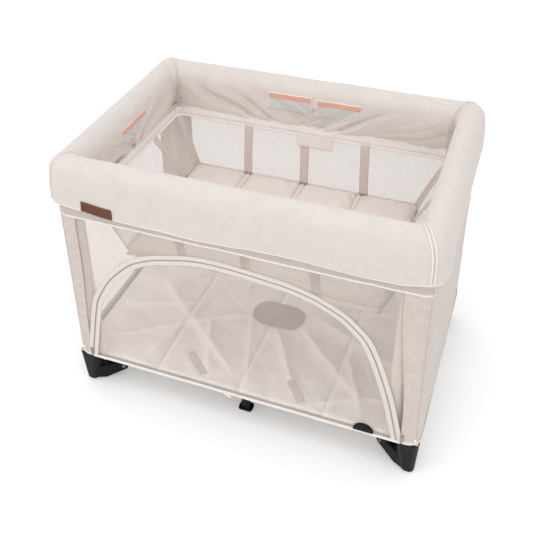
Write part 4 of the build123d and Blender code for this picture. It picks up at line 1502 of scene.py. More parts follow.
@dataclass
class Door:
    """The front: an arched door of netting in a net surround, with a zip between two tapes."""

    layout: Layout
    fold: Fold
    walls: Walls
    tape: float = 13 * MM
    gap: float = 2.2 * MM
    foot: float = 0.119
    line: list[Vector] = field(default_factory=list)

    # X and height of the zip's line, from its left foot over the arch, in metres.
    ZIP = (
        (-0.470, 0.119), (-0.458, 0.185), (-0.427, 0.330), (-0.408, 0.380), (-0.369, 0.446), (-0.309, 0.511),
        (-0.265, 0.540), (-0.204, 0.564), (-0.107, 0.586), (-0.014, 0.588), (0.075, 0.581), (0.132, 0.575),
        (0.205, 0.559), (0.248, 0.541), (0.292, 0.518), (0.323, 0.491), (0.355, 0.455), (0.380, 0.403),
        (0.402, 0.343), (0.425, 0.270), (0.445, 0.190), (0.461, 0.119),
    )  # fmt: skip

    def __post_init__(self) -> None:
        """Works out the zip's line."""
        self.line = spline_points(self.ZIP, 241)

    def beside(self, k: int, out: float) -> Vector:
        """The point so far out of the arch from a point of its line."""
        way = heading(self.line, k)
        return self.line[k] + Vector((-way.y, way.x)) * out

    def ribbon(
        self, name: str, finish: Finish, low: float, high: float, lift_mm: float, roll_mm: float
    ) -> Piece:
        """A tape along the zip's line.

        Args:
            name: its name.
            finish: its finish.
            low: distance of one edge out from the line.
            high: distance of the other edge.
            lift_mm: how far in front of the wall it lies.
            roll_mm: how far its edges stand up.

        Returns:
            The piece, facing the front.
        """

        def lay(k: int, s: float, t: float) -> Vector:
            p = self.beside(k, t)
            wave = ripple((s, t, 0), 60, 71) * 0.9
            roll = roll_mm * (bump_at(t, low, 1.8 * MM) + bump_at(t, high, 1.8 * MM))
            z = max(p.y, self.walls.foot)
            return self.walls.front(p.x, z, (lift_mm + wave + roll) * MM)

        bm = path_grid(self.line, steps(low, high, 1.6 * MM), lay)
        return add_piece(name, bm, finish, thick=(0.7, -1))

    def build(self) -> None:
        """Makes the nets, the tapes and the zip."""
        gap, outer, lap = self.gap, self.gap + self.tape, 0.6 * MM
        tape_out = self.ribbon("zip_tape_outer", Finish.ZIP_TAPE, gap, outer, lift_mm=2.6, roll_mm=0.9)
        tape_in = self.ribbon("zip_tape_inner", Finish.ZIP_TAPE, -outer, -gap, lift_mm=2.2, roll_mm=0.9)
        teeth = self.ribbon("zip_coil", Finish.ZIP_COIL, -gap - lap, gap + lap, lift_mm=1.9, roll_mm=0.0)
        self.fold.follow(tape_out, Zone.FRONT)
        self.fold.follow(teeth, Zone.FRONT)
        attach(tape_in, "door")
        self.fold.follow(tape_in, Zone.FRONT, rides=False)
        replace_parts(teeth, "door_zip")
        surround, panel = self.surround(), self.panel()

    def surround(self) -> Piece:
        """The netting between the arch and the strips beside and above it."""
        centre, top = Vector((0.0, self.foot)), self.walls.net_top

        def frame_point(p: Vector) -> Vector:
            way = p - centre
            if abs(way.x) < 1e-6:
                return Vector((0, top))
            grow = to_top = (top - centre.y) / max(way.y, 1e-6)
            for _ in range(3):
                z = clamp(centre.y + way.y * grow, centre.y, top)
                strip = self.walls.STRIP_RIGHT if way.x > 0 else self.walls.STRIP_LEFT
                grow = min(to_top, (value_along(strip, z) + 6 * MM) / abs(way.x))
            return centre + way * max(grow, 1.0)

        def lay(k: int, s: float, t: float) -> Vector:
            near = self.beside(k, 3 * MM)
            p = near.lerp(frame_point(near), t)
            sway = ripple((p.x, p.y, 8.0), 120, 72) * 1.6 * min(1.0, t * 4, (1 - t) * 4)
            return self.walls.front(p.x, p.y, (sway - 0.4) * MM)

        bm = path_grid(self.line, steps(0.0, 1.0, 0.05), lay)
        map_flat(bm, 2)
        piece = add_piece("net_front_surround", bm, Finish.WALL_NET)
        self.fold.follow(piece, Zone.FRONT)
        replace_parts(piece, "wall_front")
        return piece

    @staticmethod
    def read(curve: Table, z: float) -> float:
        """X of a side of the arch at a height, from its points (height, x)."""
        for (z0, x0), (z1, x1) in zip(curve, curve[1:]):
            if z0 <= z <= z1 or z1 <= z <= z0:
                return mix(x0, x1, clamp((z - z0) / (z1 - z0))) if z1 != z0 else x0
        return min(curve[-1], curve[0], key=lambda spot: abs(z - spot[0]))[1]

    def panel(self) -> Piece:
        """The door's own netting, a little slack."""
        crown = self.line[len(self.line) // 2].x
        left = [(p.y, p.x) for p in self.line if p.x <= crown]
        right = [(p.y, p.x) for p in reversed(self.line) if p.x >= crown]
        low, top = self.walls.foot + 1 * MM, max(p.y for p in self.line) - 2 * MM

        def lay(u: float, v: float) -> Vector:
            z = mix(low, top, 1 - (1 - v) ** 1.6)
            x = mix(self.read(left, z), self.read(right, z), u)
            slack = ripple((x, z, 3.0), 210, 73) * 2.2 + ripple((x, z, 9.0), 70, 74) * 0.7
            rim = min(1.0, 6 * min(u, 1 - u, v, 1 - v) + 0.05)
            return self.walls.front(x, z, (0.6 + (slack - 1.6) * rim) * MM)

        bm = cloth_grid(steps(0, 1, 1 / 110), steps(0, 1, 1 / 60), lay)
        map_flat(bm, 2)
        piece = add_piece("door_net", bm, Finish.WALL_NET, "door")
        self.fold.follow(piece, Zone.FRONT, rides=False)
        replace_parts(piece, "door_panel")
        return piece

    def dress(self) -> None:
        """Adds the inner band by the left strip, the cream pull tab and the black toggle."""
        walls = self.walls

        def band(s: float, z: float) -> Vector:
            x = s - value_along(walls.STRIP_LEFT, z)
            return walls.front(x, z, -(2.6 + 0.5 * ripple((x, 0, z), 50, 75)) * MM)

        bm = cloth_grid(steps(-16 * MM, 25 * MM, 3 * MM), steps(INNER_LOW, INNER_TOP, 8 * MM), band)
        piece = add_piece("front_inner_band", bm, Finish.GATHER, thick=(0.6, -1))
        self.fold.follow(piece, Zone.CORNER_FL)

        points = [
            walls.front(-0.040 + 0.0016 * k, 0.1165 - 0.0006 * k, (2.5 + 0.12 * k) * MM) for k in range(14)
        ]
        loop = add_piece("foot_loop", strap(points, 9 * MM, UP), Finish.TRIM, thick=(1.4, 0))
        self.fold.follow(loop, Zone.FRONT)
        self.toggle(radius=28 * MM, thickness=6 * MM, x=0.368, z=0.1285)

    def toggle(self, radius: float, thickness: float, x: float, z: float) -> None:
        """The black half disc by the door's foot, with rounded edges."""
        tab = bmesh.new()
        bmesh.ops.create_circle(tab, cap_ends=True, radius=radius, segments=40)
        cut(tab, (0, 0, 0), (0, -1, 0))
        grown = bmesh.ops.extrude_face_region(tab, geom=tab.faces[:])["geom"]
        front = [v for v in grown if isinstance(v, bmesh.types.BMVert)]
        bmesh.ops.translate(tab, verts=front, vec=(0, 0, thickness))
        rounding = {"offset": 1.4 * MM, "segments": 3, "profile": 0.5, "affect": "EDGES", "material": -1}
        bmesh.ops.bevel(tab, geom=tab.edges[:], **rounding)
        bmesh.ops.rotate(tab, verts=tab.verts[:], matrix=Matrix.Rotation(math.radians(90), 3, "X"))
        bmesh.ops.translate(tab, verts=tab.verts[:], vec=self.walls.front(x, z, 1.0 * MM))
        face_out(tab)
        add_piece("floor_toggle_front", tab, Finish.NYLON, "corner_fr")


# ---------------------------------------------------------------------------------------------
# The hanging bassinet
# ---------------------------------------------------------------------------------------------


@dataclass
class Bassinet:
    """The hanging bassinet: net walls on a zip band, webbing straps, and a floor of four quilted pads."""

    layout: Layout
    fold: Fold
    yard: Perimeter
    cover: RailCover
    rim_z: float = BASSINET_RIM
    corner_radius: float = 24 * MM
    pad_corner: float = 10 * MM
    sleeve_round: float = 22 * MM
    flap_length: float = 36 * MM
    floor_z: float = 0.0
    ring: Perimeter | None = None

    # X of both ends of each pad, and X of each long strap at the rim and at the floor, in metres.
    PANELS = ((-0.3644, -0.192), (-0.176, -0.008), (0.008, 0.176), (0.192, 0.3644))
    STRAPS = ((-0.190, -0.185), (-0.003, 0.003), (0.185, 0.196))
    # Y of each strap on the short walls at the rim and at the floor, and X of the rods.
    END_STRAPS = ((0.105, 0.150), (-0.105, -0.150))
    RODS = (-184 * MM, 0.0, 184 * MM)

    def __post_init__(self) -> None:
        """Sets its own perimeter from the floor's size."""
        self.floor_z = self.layout.cradle_low
        self.ring = Perimeter(self.layout.cradle_x, self.layout.cradle_y, self.corner_radius)

    def share(self, z: float) -> float:
        """How far up the wall a height is: 0 at the floor and 1 at the rim."""
        return clamp((z - self.floor_z) / (self.rim_z - self.floor_z))

    def wall(self, s: float, z: float, lift: float = 0.0) -> Vector:
        """A point of the wall: s round the floor, z the height, lift outwards."""
        share = self.share(z)
        sag = math.sin(math.pi * share) * 3 * MM
        x, y = mix(self.layout.cradle_x, RIM_X, share) - sag, mix(self.layout.cradle_y, RIM_Y, share) - sag
        point, out = self.ring.at(s, x, y, mix(self.corner_radius, RIM_RADIUS, share))
        return point + out * lift + Vector((0, 0, z))

    def build(self) -> None:
        """Makes the walls, floor, band, pads and sleeves."""
        layout = self.layout

        def net(s: float, z: float) -> Vector:
            tuck = crease((s * 0.8, z * 0.5, 1), 60, 82) - 0.6
            sway = ripple((s, z, 4.0), 120, 81) * 2.0 + tuck * 1.2
            return self.wall(s, z, sway * MM * math.sin(math.pi * self.share(z)))

        def under(x: float, y: float) -> Vector:
            sag = (1 - (x / layout.cradle_x) ** 2) * (1 - (y / layout.cradle_y) ** 2)
            lift = 0.5 - 0.6 * sag + ripple((x, y, 0), 70, 83) * 0.4
            return Vector((x, y, self.floor_z + lift * MM))

        rows = steps(self.floor_z, self.rim_z, 7 * MM)
        bm = cloth_grid(self.ring.stations(8 * MM, 4 * MM), rows, net, closed=True)
        walls = add_piece("bassinet_net", bm, Finish.BASSINET_NET, "bassinet")
        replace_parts(walls, "bassinet_shell")
        columns, rows = (steps(-half, half, 10 * MM) for half in (layout.cradle_x, layout.cradle_y))
        bm = cloth_grid(columns, rows, under)
        floor = add_piece("bassinet_underside", bm, Finish.UNDERSIDE, "bassinet", (1.0, -1))
        self.binding()
        self.pads()
        self.rod_sleeves()
        self.zip_band()

    def binding(self) -> list[Piece]:
        """The bound edges along the rim and the floor, and down the corners."""
        columns, low, high = self.ring.stations(8 * MM, 4 * MM), self.floor_z, self.rim_z
        bm = cloth_grid(
            columns,
            steps(high - 6 * MM, high + 2 * MM, 2 * MM),
            lambda s, z: self.wall(s, z, (ripple((s, 0, 0), 40, 84) * 0.5 - 0.6) * MM),
            closed=True,
        )
        made = [add_piece("bassinet_rim", bm, Finish.ZIP_BAND, "bassinet", (1.6, 0))]
        bm = cloth_grid(
            columns,
            steps(low, low + 16 * MM, 3 * MM),
            lambda s, z: self.wall(s, z, (ripple((s, z, 0), 30, 85) * 0.5 - 0.4) * MM),
            closed=True,
        )
        made.append(add_piece("bassinet_floor_edge", bm, Finish.PAD, "bassinet", (1.2, 0)))
        half_width = 13 * MM
        for corner in range(4):
            middle = self.ring.corner(corner)
            bm = cloth_grid(
                steps(middle - half_width, middle + half_width, 2 * MM),
                steps(low, high, 7 * MM),
                lambda s, z: self.wall(s, z, (ripple((s, z, 0), 40, 86) * 0.6 - 0.8) * MM),
            )
            made.append(
                add_piece(f"bassinet_corner_{corner}", bm, Finish.STRAP, "bassinet", (1.0, 0))
            )
        return made

    def zip_band(self) -> None:
        """The gathered zip band under the cover's skirt, which the bassinet hangs from."""
        layout = self.layout
        inset, low, high = layout.half_x - 441 * MM, 641 * MM, 672 * MM
        drops = ((0.0, 0.0), (0.25, 1.0), (1.0, 0.2))

        def band(s: float, z: float) -> Vector:
            base, out = self.yard.at(s, layout.half_x - inset, layout.half_y - inset, RIM_RADIUS)
            near = self.cover.near(s, 60)
            gather = (crease((s, z * 0.2, 6.0), 11, 91) - 0.55) * (2.0 + 3.0 * near)
            drop = value_along(drops, clamp((z - BASSINET_RIM) / (24 * MM)))
            lift = 1.2 - 1.4 * drop - gather * (0.4 + 0.6 * drop)
            sag = ripple((s, 0, 0), 90, 92) * 2.4 * MM
            return base + out * lift * MM + Vector((0, 0, z + sag))

        bm = cloth_grid(self.yard.stations(4 * MM, 2 * MM), steps(low, high, 2.6 * MM), band, closed=True)
        pieces = self.fold.split("zip_band", bm, Finish.ZIP_BAND, "zip_tape", (0.6, 0))

    def pads(self) -> None:
        """The four quilted pads of the floor, each with a piped edge."""
        low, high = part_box("bassinet_pads")
        half_y, mid_z, r = high.y, low.z + 5 * MM, self.pad_corner
        seam, edge, rise, drop = 16 * MM, 12 * MM, 12 * MM, -4 * MM
        for number, (x0, x1) in enumerate(self.PANELS):

            def shape(x: float, y: float, height: float) -> Vector:
                ex, ey = min(x - x0, x1 - x), half_y - abs(y)
                reach = clamp(min(ex, ey) / seam)
                p = Vector((x, y, mid_z))
                if ex < r and ey < r:
                    cx = x0 + r if x < (x0 + x1) / 2 else x1 - r
                    cy = math.copysign(half_y - r, y)
                    away = Vector((x - cx, y - cy, 0))
                    if away.length > 1e-9:
                        p = Vector((cx, cy, mid_z)) + away * (max(abs(away.x), abs(away.y)) / away.length)
                if height > 0:
                    tuck = crease((x, y * 0.6, 2), 70, 105 + number) - 0.6
                    height += (ripple((x, y, 0), 60, 101 + number) * 0.9 + tuck * 1.6) * MM
                p.z += math.sqrt(reach * (2 - reach)) * height
                return p

            bm = cushion(
                chain((x0, x0 + edge, x1 - edge, x1), 1.5, 5, 1.5),
                chain((-half_y, -half_y + edge, half_y - edge, half_y), 1.5, 5, 1.5),
                lambda x, y: shape(x, y, rise),
                lambda x, y: shape(x, y, drop),
            )
            pad = add_piece(f"bassinet_pad_{number + 1}", bm, Finish.PAD, "bassinet")
            settle(pad, pressure=3.0, frames=14, cap=4 * MM)
            outline = []
            for quarter, (sx, sy) in enumerate(((1, -1), (1, 1), (-1, 1), (-1, -1))):
                centre = Vector(((x1 if sx > 0 else x0) - sx * r, sy * (half_y - r), mid_z + 0.4 * MM))
                for turn in steps(math.radians(90 * quarter - 90), math.radians(90 * quarter), math.pi / 16):
                    outline.append(centre + Vector((math.cos(turn), math.sin(turn), 0)) * r)
            outline.append(outline[0].copy())
            cord = tube(outline, 1.7 * MM)
            add_piece(f"bassinet_piping_{number + 1}", cord, Finish.TRIM, "bassinet")
            if number == 0:
                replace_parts(pad, "bassinet_pads")

    def rod_sleeves(self) -> None:
        """The cloth tunnels between the pads that hold the rods."""
        half_y, low = self.layout.cradle_y - 3 * MM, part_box("bassinet_rods")[0].z - 1.0 * MM
        for number, x in enumerate(self.RODS):

            def sleeve(y: float, t: float) -> Vector:
                turn = math.pi * (t / self.sleeve_round)
                wave = ripple((x, y, 0), 35, 111 + number) * 0.7
                side = (7.6 + wave * 0.4) * MM * math.cos(turn)
                return Vector((x + side, y, low + (12.4 + wave) * MM * math.sin(turn) ** 0.7))

            bm = cloth_grid(steps(half_y, -half_y, 5 * MM), steps(0, self.sleeve_round, 1.5 * MM), sleeve)
            turn_over(bm)
            name = f"rod_sleeve_{number + 1}"
            piece = add_piece(name, bm, Finish.PAD, "bassinet", (0.7, -1))

    def strap_z(self, share: float) -> float:
        """Height of a strap at a share of its way down."""
        return mix(self.rim_z - 1 * MM, self.floor_z + 12 * MM, share)

    def on_long_wall(self, side: int, across: float, share: float) -> Vector:
        """A point of a strap on the front (-1) or back (1) wall: its X and its share of the way down."""
        z = self.strap_z(share)
        wave = ripple((across, z, side), 45, 121) * 0.8 * MM
        return Vector((across, side * (abs(self.wall(0, z).y) - 2.2 * MM) + wave, z))

    def on_short_wall(self, side: int, across: float, share: float) -> Vector:
        """A point of a strap on the left (-1) or right (1) wall: its Y and its share of the way down."""
        x = mix(RIM_X, self.layout.cradle_x, share) - math.sin(math.pi * share) * 3 * MM - 2.2 * MM
        return Vector((side * x, across, self.strap_z(share)))

    def dress(self) -> None:
        """Adds the webbing straps and the flap over the zip's end."""
        for place, ends, width, way, labels in (
            (self.on_long_wall, self.STRAPS, 27 * MM, Vector((1, 0, 0)), ("back", "front")),
            (self.on_short_wall, self.END_STRAPS, 25 * MM, Vector((0, -1, 0)), ("right", "left")),
        ):
            for side, label in zip((1, -1), labels):
                for number, (high, low) in enumerate(ends):
                    points = [place(side, mix(high, low, share), share) for share in steps(0, 1, 1 / 23)]
                    bm = strap(points, width, way * side)
                    name = f"webbing_{label}_{number + 1}"
                    piece = add_piece(name, bm, Finish.STRAP, "bassinet", (1.1, 0))

        def flap(x: float, t: float) -> Vector:
            z, edge = BASSINET_RIM - t, smooth(0, 30 * MM, t)
            curl = ripple((x, z, 0), 40, 131) * 1.2
            lean = mix(RIM_Y, 268 * MM, t / self.flap_length) - (3.4 + 2.5 * edge + curl) * MM
            return Vector((mix(0.029, x, 1 - 0.05 * edge), lean, z))

        bm = cloth_grid(steps(-0.029, 0.087, 3 * MM), steps(0, self.flap_length, 3 * MM), flap)
        piece = add_piece("zip_flap", bm, Finish.PAD, "bassinet", (1.2, 0))


# ---------------------------------------------------------------------------------------------
# Floor and mattress
# ---------------------------------------------------------------------------------------------


@dataclass
class Floor:
    """The floor of the yard: a coated panel and a four-part mattress, slack and creased on top."""

    layout: Layout
    fold: Fold
    keep: float = 0.29
    slack: float = 6 * MM
    handle: Vector = field(default_factory=lambda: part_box("hub_handle")[1])

    # Crests of the mattress's long folds: X and Y of the start and of the end, and the height in mm.
    FOLDS = (
        (-0.44, -0.26, -0.06, -0.02, 5.0), (-0.40, 0.02, -0.02, -0.30, 4.5),
        (-0.30, -0.31, -0.22, -0.02, 4.0),
        (-0.19, -0.10, -0.10, -0.32, 4.2), (-0.06, -0.07, 0.02, -0.32, 3.6), (0.03, -0.08, 0.16, -0.31, 5.0),
        (0.10, -0.04, 0.34, -0.27, 4.6), (0.12, 0.02, 0.44, -0.12, 4.2), (0.20, -0.32, 0.46, -0.20, 4.2),
        (0.26, -0.12, 0.36, -0.32, 3.8), (-0.47, -0.12, -0.24, -0.04, 3.8), (-0.36, -0.02, -0.20, 0.28, 4.4),
        (-0.12, 0.06, -0.16, 0.30, 3.8), (0.08, 0.08, 0.20, 0.30, 4.2), (0.18, 0.06, 0.46, 0.16, 4.4),
        (0.30, 0.30, 0.46, 0.04, 3.8), (-0.46, 0.20, -0.28, 0.10, 4.0),
    )  # fmt: skip
    # X of the mattress's seams, the ends of its two straps, and the patch's middle, half sizes and
    # rings, as shares of its size.
    SEAMS = (-0.254, 0.0, 0.254)
    STRAPS = (((-0.188, -0.250), (-0.113, -0.318)), ((0.132, -0.260), (0.185, -0.320)))
    PATCH_MIDDLE, PATCH_HALF = (0.0108, -0.009), (0.083, 0.056)
    PATCH_RINGS = (0.50, 0.58, 0.93)

    @property
    def half_x(self) -> float:
        """Half the mattress's length, with the slack cloth at its ends."""
        return self.layout.mattress_x + self.slack * 0.5

    @property
    def half_y(self) -> float:
        """Half the mattress's width, with the slack cloth at its sides."""
        return self.layout.mattress_y + self.slack

    @property
    def middle(self) -> float:
        """The height of the mattress's own seam."""
        return (self.layout.mattress_low + self.layout.mattress_top) / 2

    def fullness(self, x: float, y: float) -> float:
        """Share of the full thickness at a place: 0 along the seam and 1 inside it."""
        reach = clamp(min(self.half_x - abs(x), self.half_y - abs(y)) / (7 * MM))
        return math.sqrt(reach * (2 - reach))

    def relief(self, x: float, y: float) -> float:
        """How far the slack cloth stands above the mattress's mean face, in mm."""
        slant = Vector((x * 0.9 + y * 0.5, y * 0.6 - x * 0.35, 0.2))
        cross = Vector((x * 0.5 - y * 0.8, y * 0.5 + x * 0.7, 7.2))
        seams = sum(bump_at(x, seam, 5 * MM) for seam in self.SEAMS)
        high = (crease(slant, 130, 141) - 0.6) * 7.0 + (crease(cross, 95, 142) - 0.6) * 4.5
        long_folds = sum(self.fold_at(x, y, *line) for line in self.FOLDS)
        fine = (crease((x * 0.5, y, 5.0), 40, 143) - 0.6) * 1.4
        return high * 0.45 + long_folds * 1.3 + fine - seams * 3.0 - 1.5

    @staticmethod
    def fold_at(x: float, y: float, x0: float, y0: float, x1: float, y1: float, height: float) -> float:
        """Height of one long fold: a sharp crest, steep on one side and easing off on the other.

        Args:
            x: the place along the yard.
            y: the place across the yard.
            x0: X where the crest starts.
            y0: Y where the crest starts.
            x1: X where the crest ends.
            y1: Y where the crest ends.
            height: how high the crest is, in mm.

        Returns:
            The height in mm.
        """
        run = Vector((x1 - x0, y1 - y0))
        length = run.length
        run.normalize()
        along = (x - x0) * run.x + (y - y0) * run.y
        bend = ripple((x, y, 3.0), 90, 149) * 7 * MM
        away = (x - x0) * run.y - (y - y0) * run.x + bend
        ends = smooth(-30 * MM, 45 * MM, along) * (1 - smooth(length - 60 * MM, length + 20 * MM, along))
        return height * ends * math.exp(-abs(away) / ((9 if away > 0 else 34) * MM))

    def shading(self, p: Vector) -> float:
        """How lit a point of the cloth is: 1 on a slope that faces the front left, 0 behind a crest."""
        dx, dy = 2 * MM, 2.5 * MM
        slope = self.relief(p.x - dx, p.y - dy) - self.relief(p.x + dx, p.y + dy)
        return clamp(0.56 - slope * 0.38)

    def pocket(self, x: float, y: float) -> float:
        """1 over the hub's handle, which comes up into the mattress when it is pulled, and 0 away from it."""
        beyond_x, beyond_y = abs(x) - self.handle.x, abs(y) - self.handle.y
        return (1 - smooth(6 * MM, 14 * MM, beyond_x)) * (1 - smooth(6 * MM, 12 * MM, beyond_y))

    def top(self, x: float, y: float) -> Vector:
        """A point of the mattress's upper face."""
        z = self.layout.mattress_top + mix(self.relief(x, y) - 3.0, -1.5, self.pocket(x, y)) * MM
        return Vector((x, y, mix(self.middle, z, self.fullness(x, y))))

    def under(self, x: float, y: float) -> Vector:
        """A point of the mattress's lower face."""
        layout = self.layout
        low = mix(self.middle, layout.mattress_low + 0.6 * MM, self.fullness(x, y))
        return Vector((x, y, mix(low, layout.mattress_top - 4.2 * MM, self.pocket(x, y))))

    def squash(self, piece: Piece) -> None:
        """Gives a piece its own copy of its mesh."""
        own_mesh(piece)

    def halves(self, name: str, bm: BMesh, finish: Finish, node: str = "") -> dict[str, Piece]:
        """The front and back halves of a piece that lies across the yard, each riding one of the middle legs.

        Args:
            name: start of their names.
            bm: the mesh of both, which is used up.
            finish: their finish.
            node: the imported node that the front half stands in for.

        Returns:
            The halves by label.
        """
        made = {}
        for side, label in ((-1, "front"), (1, "back")):
            part = bm.copy()
            cut(part, (0, 0, 0), (0, -side, 0))
            made[label] = add_piece(f"{name}_{label}", part, finish, f"mid_leg_{label}")
            self.squash(made[label])
        if node:
            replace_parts(made["front"], node)
        bm.free()
        return made

    def build(self) -> None:
        """Makes the panel and the mattress."""
        edge = 12 * MM
        columns, rows = (
            chain((-half, -half + edge, half - edge, half), 2, 5, 2) for half in (self.half_x, self.half_y)
        )
        bm = cushion(columns, rows, self.top, self.under)
        # Painted light and shade: the mattress's colour is lighter on slopes that face the front left and
        # darker behind crests.
        mark_folds(bm, self.shading)
        keep_normals(bm)
        for piece in self.halves("mattress", bm, Finish.MATTRESS, "mattress").values():
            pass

        low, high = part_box("floor_panel")
        hole = self.handle + Vector((2.6, 2.6, 0)) * MM

        def sheet(x: float, y: float) -> Vector:
            return Vector((x, y, low.z + 0.4 * MM + ripple((x, y, 0), 90, 151) * 0.3 * MM))

        columns, rows = (chain((-high[i], -hole[i], hole[i], high[i]), 12, 12, 12) for i in (0, 1))
        bm = cloth_grid(columns, rows, sheet)
        centres = {face: face.calc_center_median() for face in bm.faces}
        inside = [face for face, c in centres.items() if abs(c.x) < hole.x and abs(c.y) < hole.y]
        bmesh.ops.delete(bm, geom=inside, context="FACES")
        turn_over(bm)
        for piece in self.halves("floor_sheet", bm, Finish.FLOOR, "floor_panel").values():
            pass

    def dress(self) -> None:
        """Adds the oval patch and the straps on the mattress."""
        (cx, cy), (half_x, half_y), power = self.PATCH_MIDDLE, self.PATCH_HALF, 2.6

        def patch(s: float, t: float) -> Vector:
            c, d = math.cos(s / half_x), math.sin(s / half_x)
            share = t / half_y
            grow = (abs(c) ** power + abs(d) ** power) ** (-1 / power) * share
            groove = sum(bump_at(share, ring, 0.022) for ring in self.PATCH_RINGS)
            lift = 2.4 + 0.6 * smooth(1.0, 0.9, share) - 1.1 * groove
            return self.top(cx + half_x * c * grow, cy + half_y * d * grow) + UP * lift * MM

        around = [2 * math.pi * half_x * k / 120 for k in range(121)]
        bm = cloth_grid(around[::-1], steps(0.4 * MM, half_y, 1.4 * MM), patch)
        weld(bm)
        face_out(bm)
        if sum(f.normal.z for f in bm.faces) < 0:
            turn_over(bm)
        map_flat(bm, 1)
        keep_normals(bm)
        for label, piece in self.halves("mattress_patch", bm, Finish.PATCH).items():
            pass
        for number, ((x0, y0), (x1, y1)) in enumerate(self.STRAPS):
            shares = steps(0, 1, 1 / 15)
            points = [self.top(mix(x0, x1, share), mix(y0, y1, share)) + UP * 1.6 * MM for share in shares]
            way = Vector((x1 - x0, y1 - y0, 0)).normalized()
            bm = strap(points, 24 * MM, UP.cross(way))
            name = f"mattress_strap_{number + 1}"
            piece = add_piece(name, bm, Finish.STRAP, "mid_leg_front", (1.2, 1))
            self.squash(piece)


# ---------------------------------------------------------------------------------------------
# The steel frame and the stage
# ---------------------------------------------------------------------------------------------


class SteelFrame:
    """The folding frame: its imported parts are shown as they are, with a material each."""

    BY_SLOT = {
        "steel_tube": Finish.COATED_STEEL,
        "black_plastic": Finish.NYLON,
        "rivet_steel": Finish.RIVET_STEEL,
        "button_plastic": Finish.BUTTON,
        "zip_metal": Finish.SLIDER,
        "rod_plastic": Finish.ROD,
    }

    def build(self) -> None:
        """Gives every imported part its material."""
        for node in frame["nodes"].values():
            for place in node.material_slots:
                label = (place.material.name if place.material else "").split(".")[0]
                finish = next((f for slot, f in self.BY_SLOT.items() if slot in label), Finish.WALL)
                place.material = finish.material
            if not node.material_slots:
                node.data.materials.append(Finish.NYLON.material)
        LOG.info("steel frame: %d packed parts", len(frame["nodes"]))


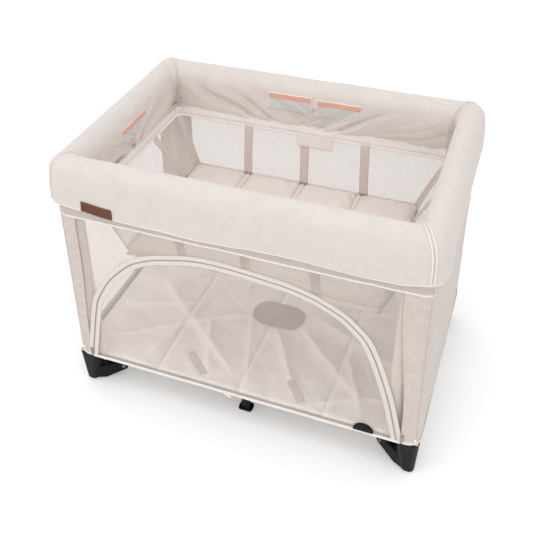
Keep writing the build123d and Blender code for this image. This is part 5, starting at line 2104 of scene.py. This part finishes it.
@dataclass
class Stage:
    """A white floor and world, soft lights, and the camera."""

    lens: float = 51.56
    shift: tuple[float, float] = (0.0278, -0.1088)
    place: tuple[float, float, float] = (0.5938, -1.6935, 1.8189)
    turn: float = 21.656
    tilt: float = 35.278
    roll: float = -1.242

    WHITE = (1, 1, 1, 1)
    # Name, place, target, length of a side and power of each lamp.
    LAMPS = (
        ("key_light", (-1.2, -1.2, 3.0), (0, 0.1, 0.6), 2.2, 9.5),
        ("top_light", (0.6, -0.9, 3.2), (0.1, 0.3, 0.7), 1.6, 11),
        ("front_light", (0.1, -3.2, 1.15), (0, 0.1, 0.5), 1.6, 5),
    )

    def build(self) -> None:
        """Makes all of it."""
        self.floor()
        self.world()
        for lamp in self.LAMPS:
            self.lamp(*lamp)
        self.camera()

    @staticmethod
    def for_camera(
        tree: bpy.types.NodeTree, others: bpy.types.Node, camera: bpy.types.Node
    ) -> bpy.types.Node:
        """Adds a shader that is one thing to the camera and another to everything else."""
        path = add_node(tree, "LightPath").outputs["Is Camera Ray"]
        return add_node(tree, "MixShader", {}, {0: path, 1: others.outputs[0], 2: camera.outputs[0]})

    def floor(self) -> None:
        """The floor: white where it is lit, and darker where the yard shades it."""
        bm = bmesh.new()
        bmesh.ops.create_grid(bm, x_segments=1, y_segments=1, size=12.0)
        mesh = bpy.data.meshes.new("floor")
        bm.to_mesh(mesh)
        bm.free()
        material = bpy.data.materials.new("white_floor")
        tree = empty_tree(material)
        diffuse = add_node(tree, "BsdfDiffuse", {"Color": (0.92, 0.92, 0.92, 1)})
        glow = add_node(tree, "Emission", {"Color": self.WHITE, "Strength": 0.17})
        lit = add_node(tree, "AddShader", {}, {0: diffuse.outputs[0], 1: glow.outputs[0]})
        face = self.for_camera(tree, diffuse, lit)
        add_node(tree, "OutputMaterial", {}, {"Surface": face.outputs[0]})
        mesh.materials.append(material)
        new_object("floor", mesh)

    def world(self) -> None:
        """A plain white world: soft light on the yard and pure white behind it."""
        world = bpy.data.worlds.new("studio")
        tree = empty_tree(world)
        soft = add_node(tree, "Background", {"Color": self.WHITE, "Strength": 0.95})
        white = add_node(tree, "Background", {"Color": self.WHITE, "Strength": 1.2})
        add_node(tree, "OutputWorld", {}, {"Surface": self.for_camera(tree, soft, white).outputs[0]})
        bpy.context.scene.world = world

    def lamp(self, name: str, place: tuple, target: tuple, size: float, power: float) -> None:
        """A square soft light.

        Args:
            name: its name.
            place: where it hangs.
            target: what it looks at.
            size: length of its side.
            power: in watts.
        """
        light = bpy.data.lights.new(name, "AREA")
        light.energy, light.size = power, size
        lamp = new_object(name, light)
        lamp.location = place
        lamp.rotation_euler = (Vector(target) - Vector(place)).to_track_quat("-Z", "Y").to_euler()

    def camera(self) -> None:
        """The camera, set by its place and its three angles."""
        data = bpy.data.cameras.new("camera")
        data.lens, data.sensor_width = self.lens, 36
        data.shift_x, data.shift_y = self.shift
        camera = new_object("camera", data)
        az, el, roll = (math.radians(a) for a in (self.turn, self.tilt, self.roll))
        back = Vector((math.sin(az) * math.cos(el), -math.cos(az) * math.cos(el), math.sin(el)))
        right = (-back).cross(UP).normalized()
        up = right.cross(-back).normalized()
        right, up = (
            right * math.cos(roll) + up * math.sin(roll),
            up * math.cos(roll) - right * math.sin(roll),
        )
        turn = Matrix((right, up, back)).transposed()
        camera.matrix_world = Matrix.Translation(Vector(self.place)) @ turn.to_4x4()
        bpy.context.scene.camera = camera
        bpy.context.scene.view_settings.view_transform = "Standard"


def main() -> None:
    """Builds the yard from its frame outwards, then the stage."""
    logging.basicConfig(level=logging.INFO, format="%(name)s %(message)s")
    layout = Layout.read()
    fold = Fold()
    ring = Perimeter(layout.half_x, layout.half_y, 42 * MM)
    cover = RailCover(layout, fold, ring)
    walls = Walls(layout, fold, ring, cover)
    door = Door(layout, fold, walls)
    bassinet = Bassinet(layout, fold, ring, cover)
    floor = Floor(layout, fold)
    SteelFrame().build()
    for assembly in (cover, walls, door, bassinet, floor):
        assembly.build()
    for assembly in (cover, door, bassinet, floor):
        assembly.dress()
    Stage().build()


if __name__ == "__main__":
    main()
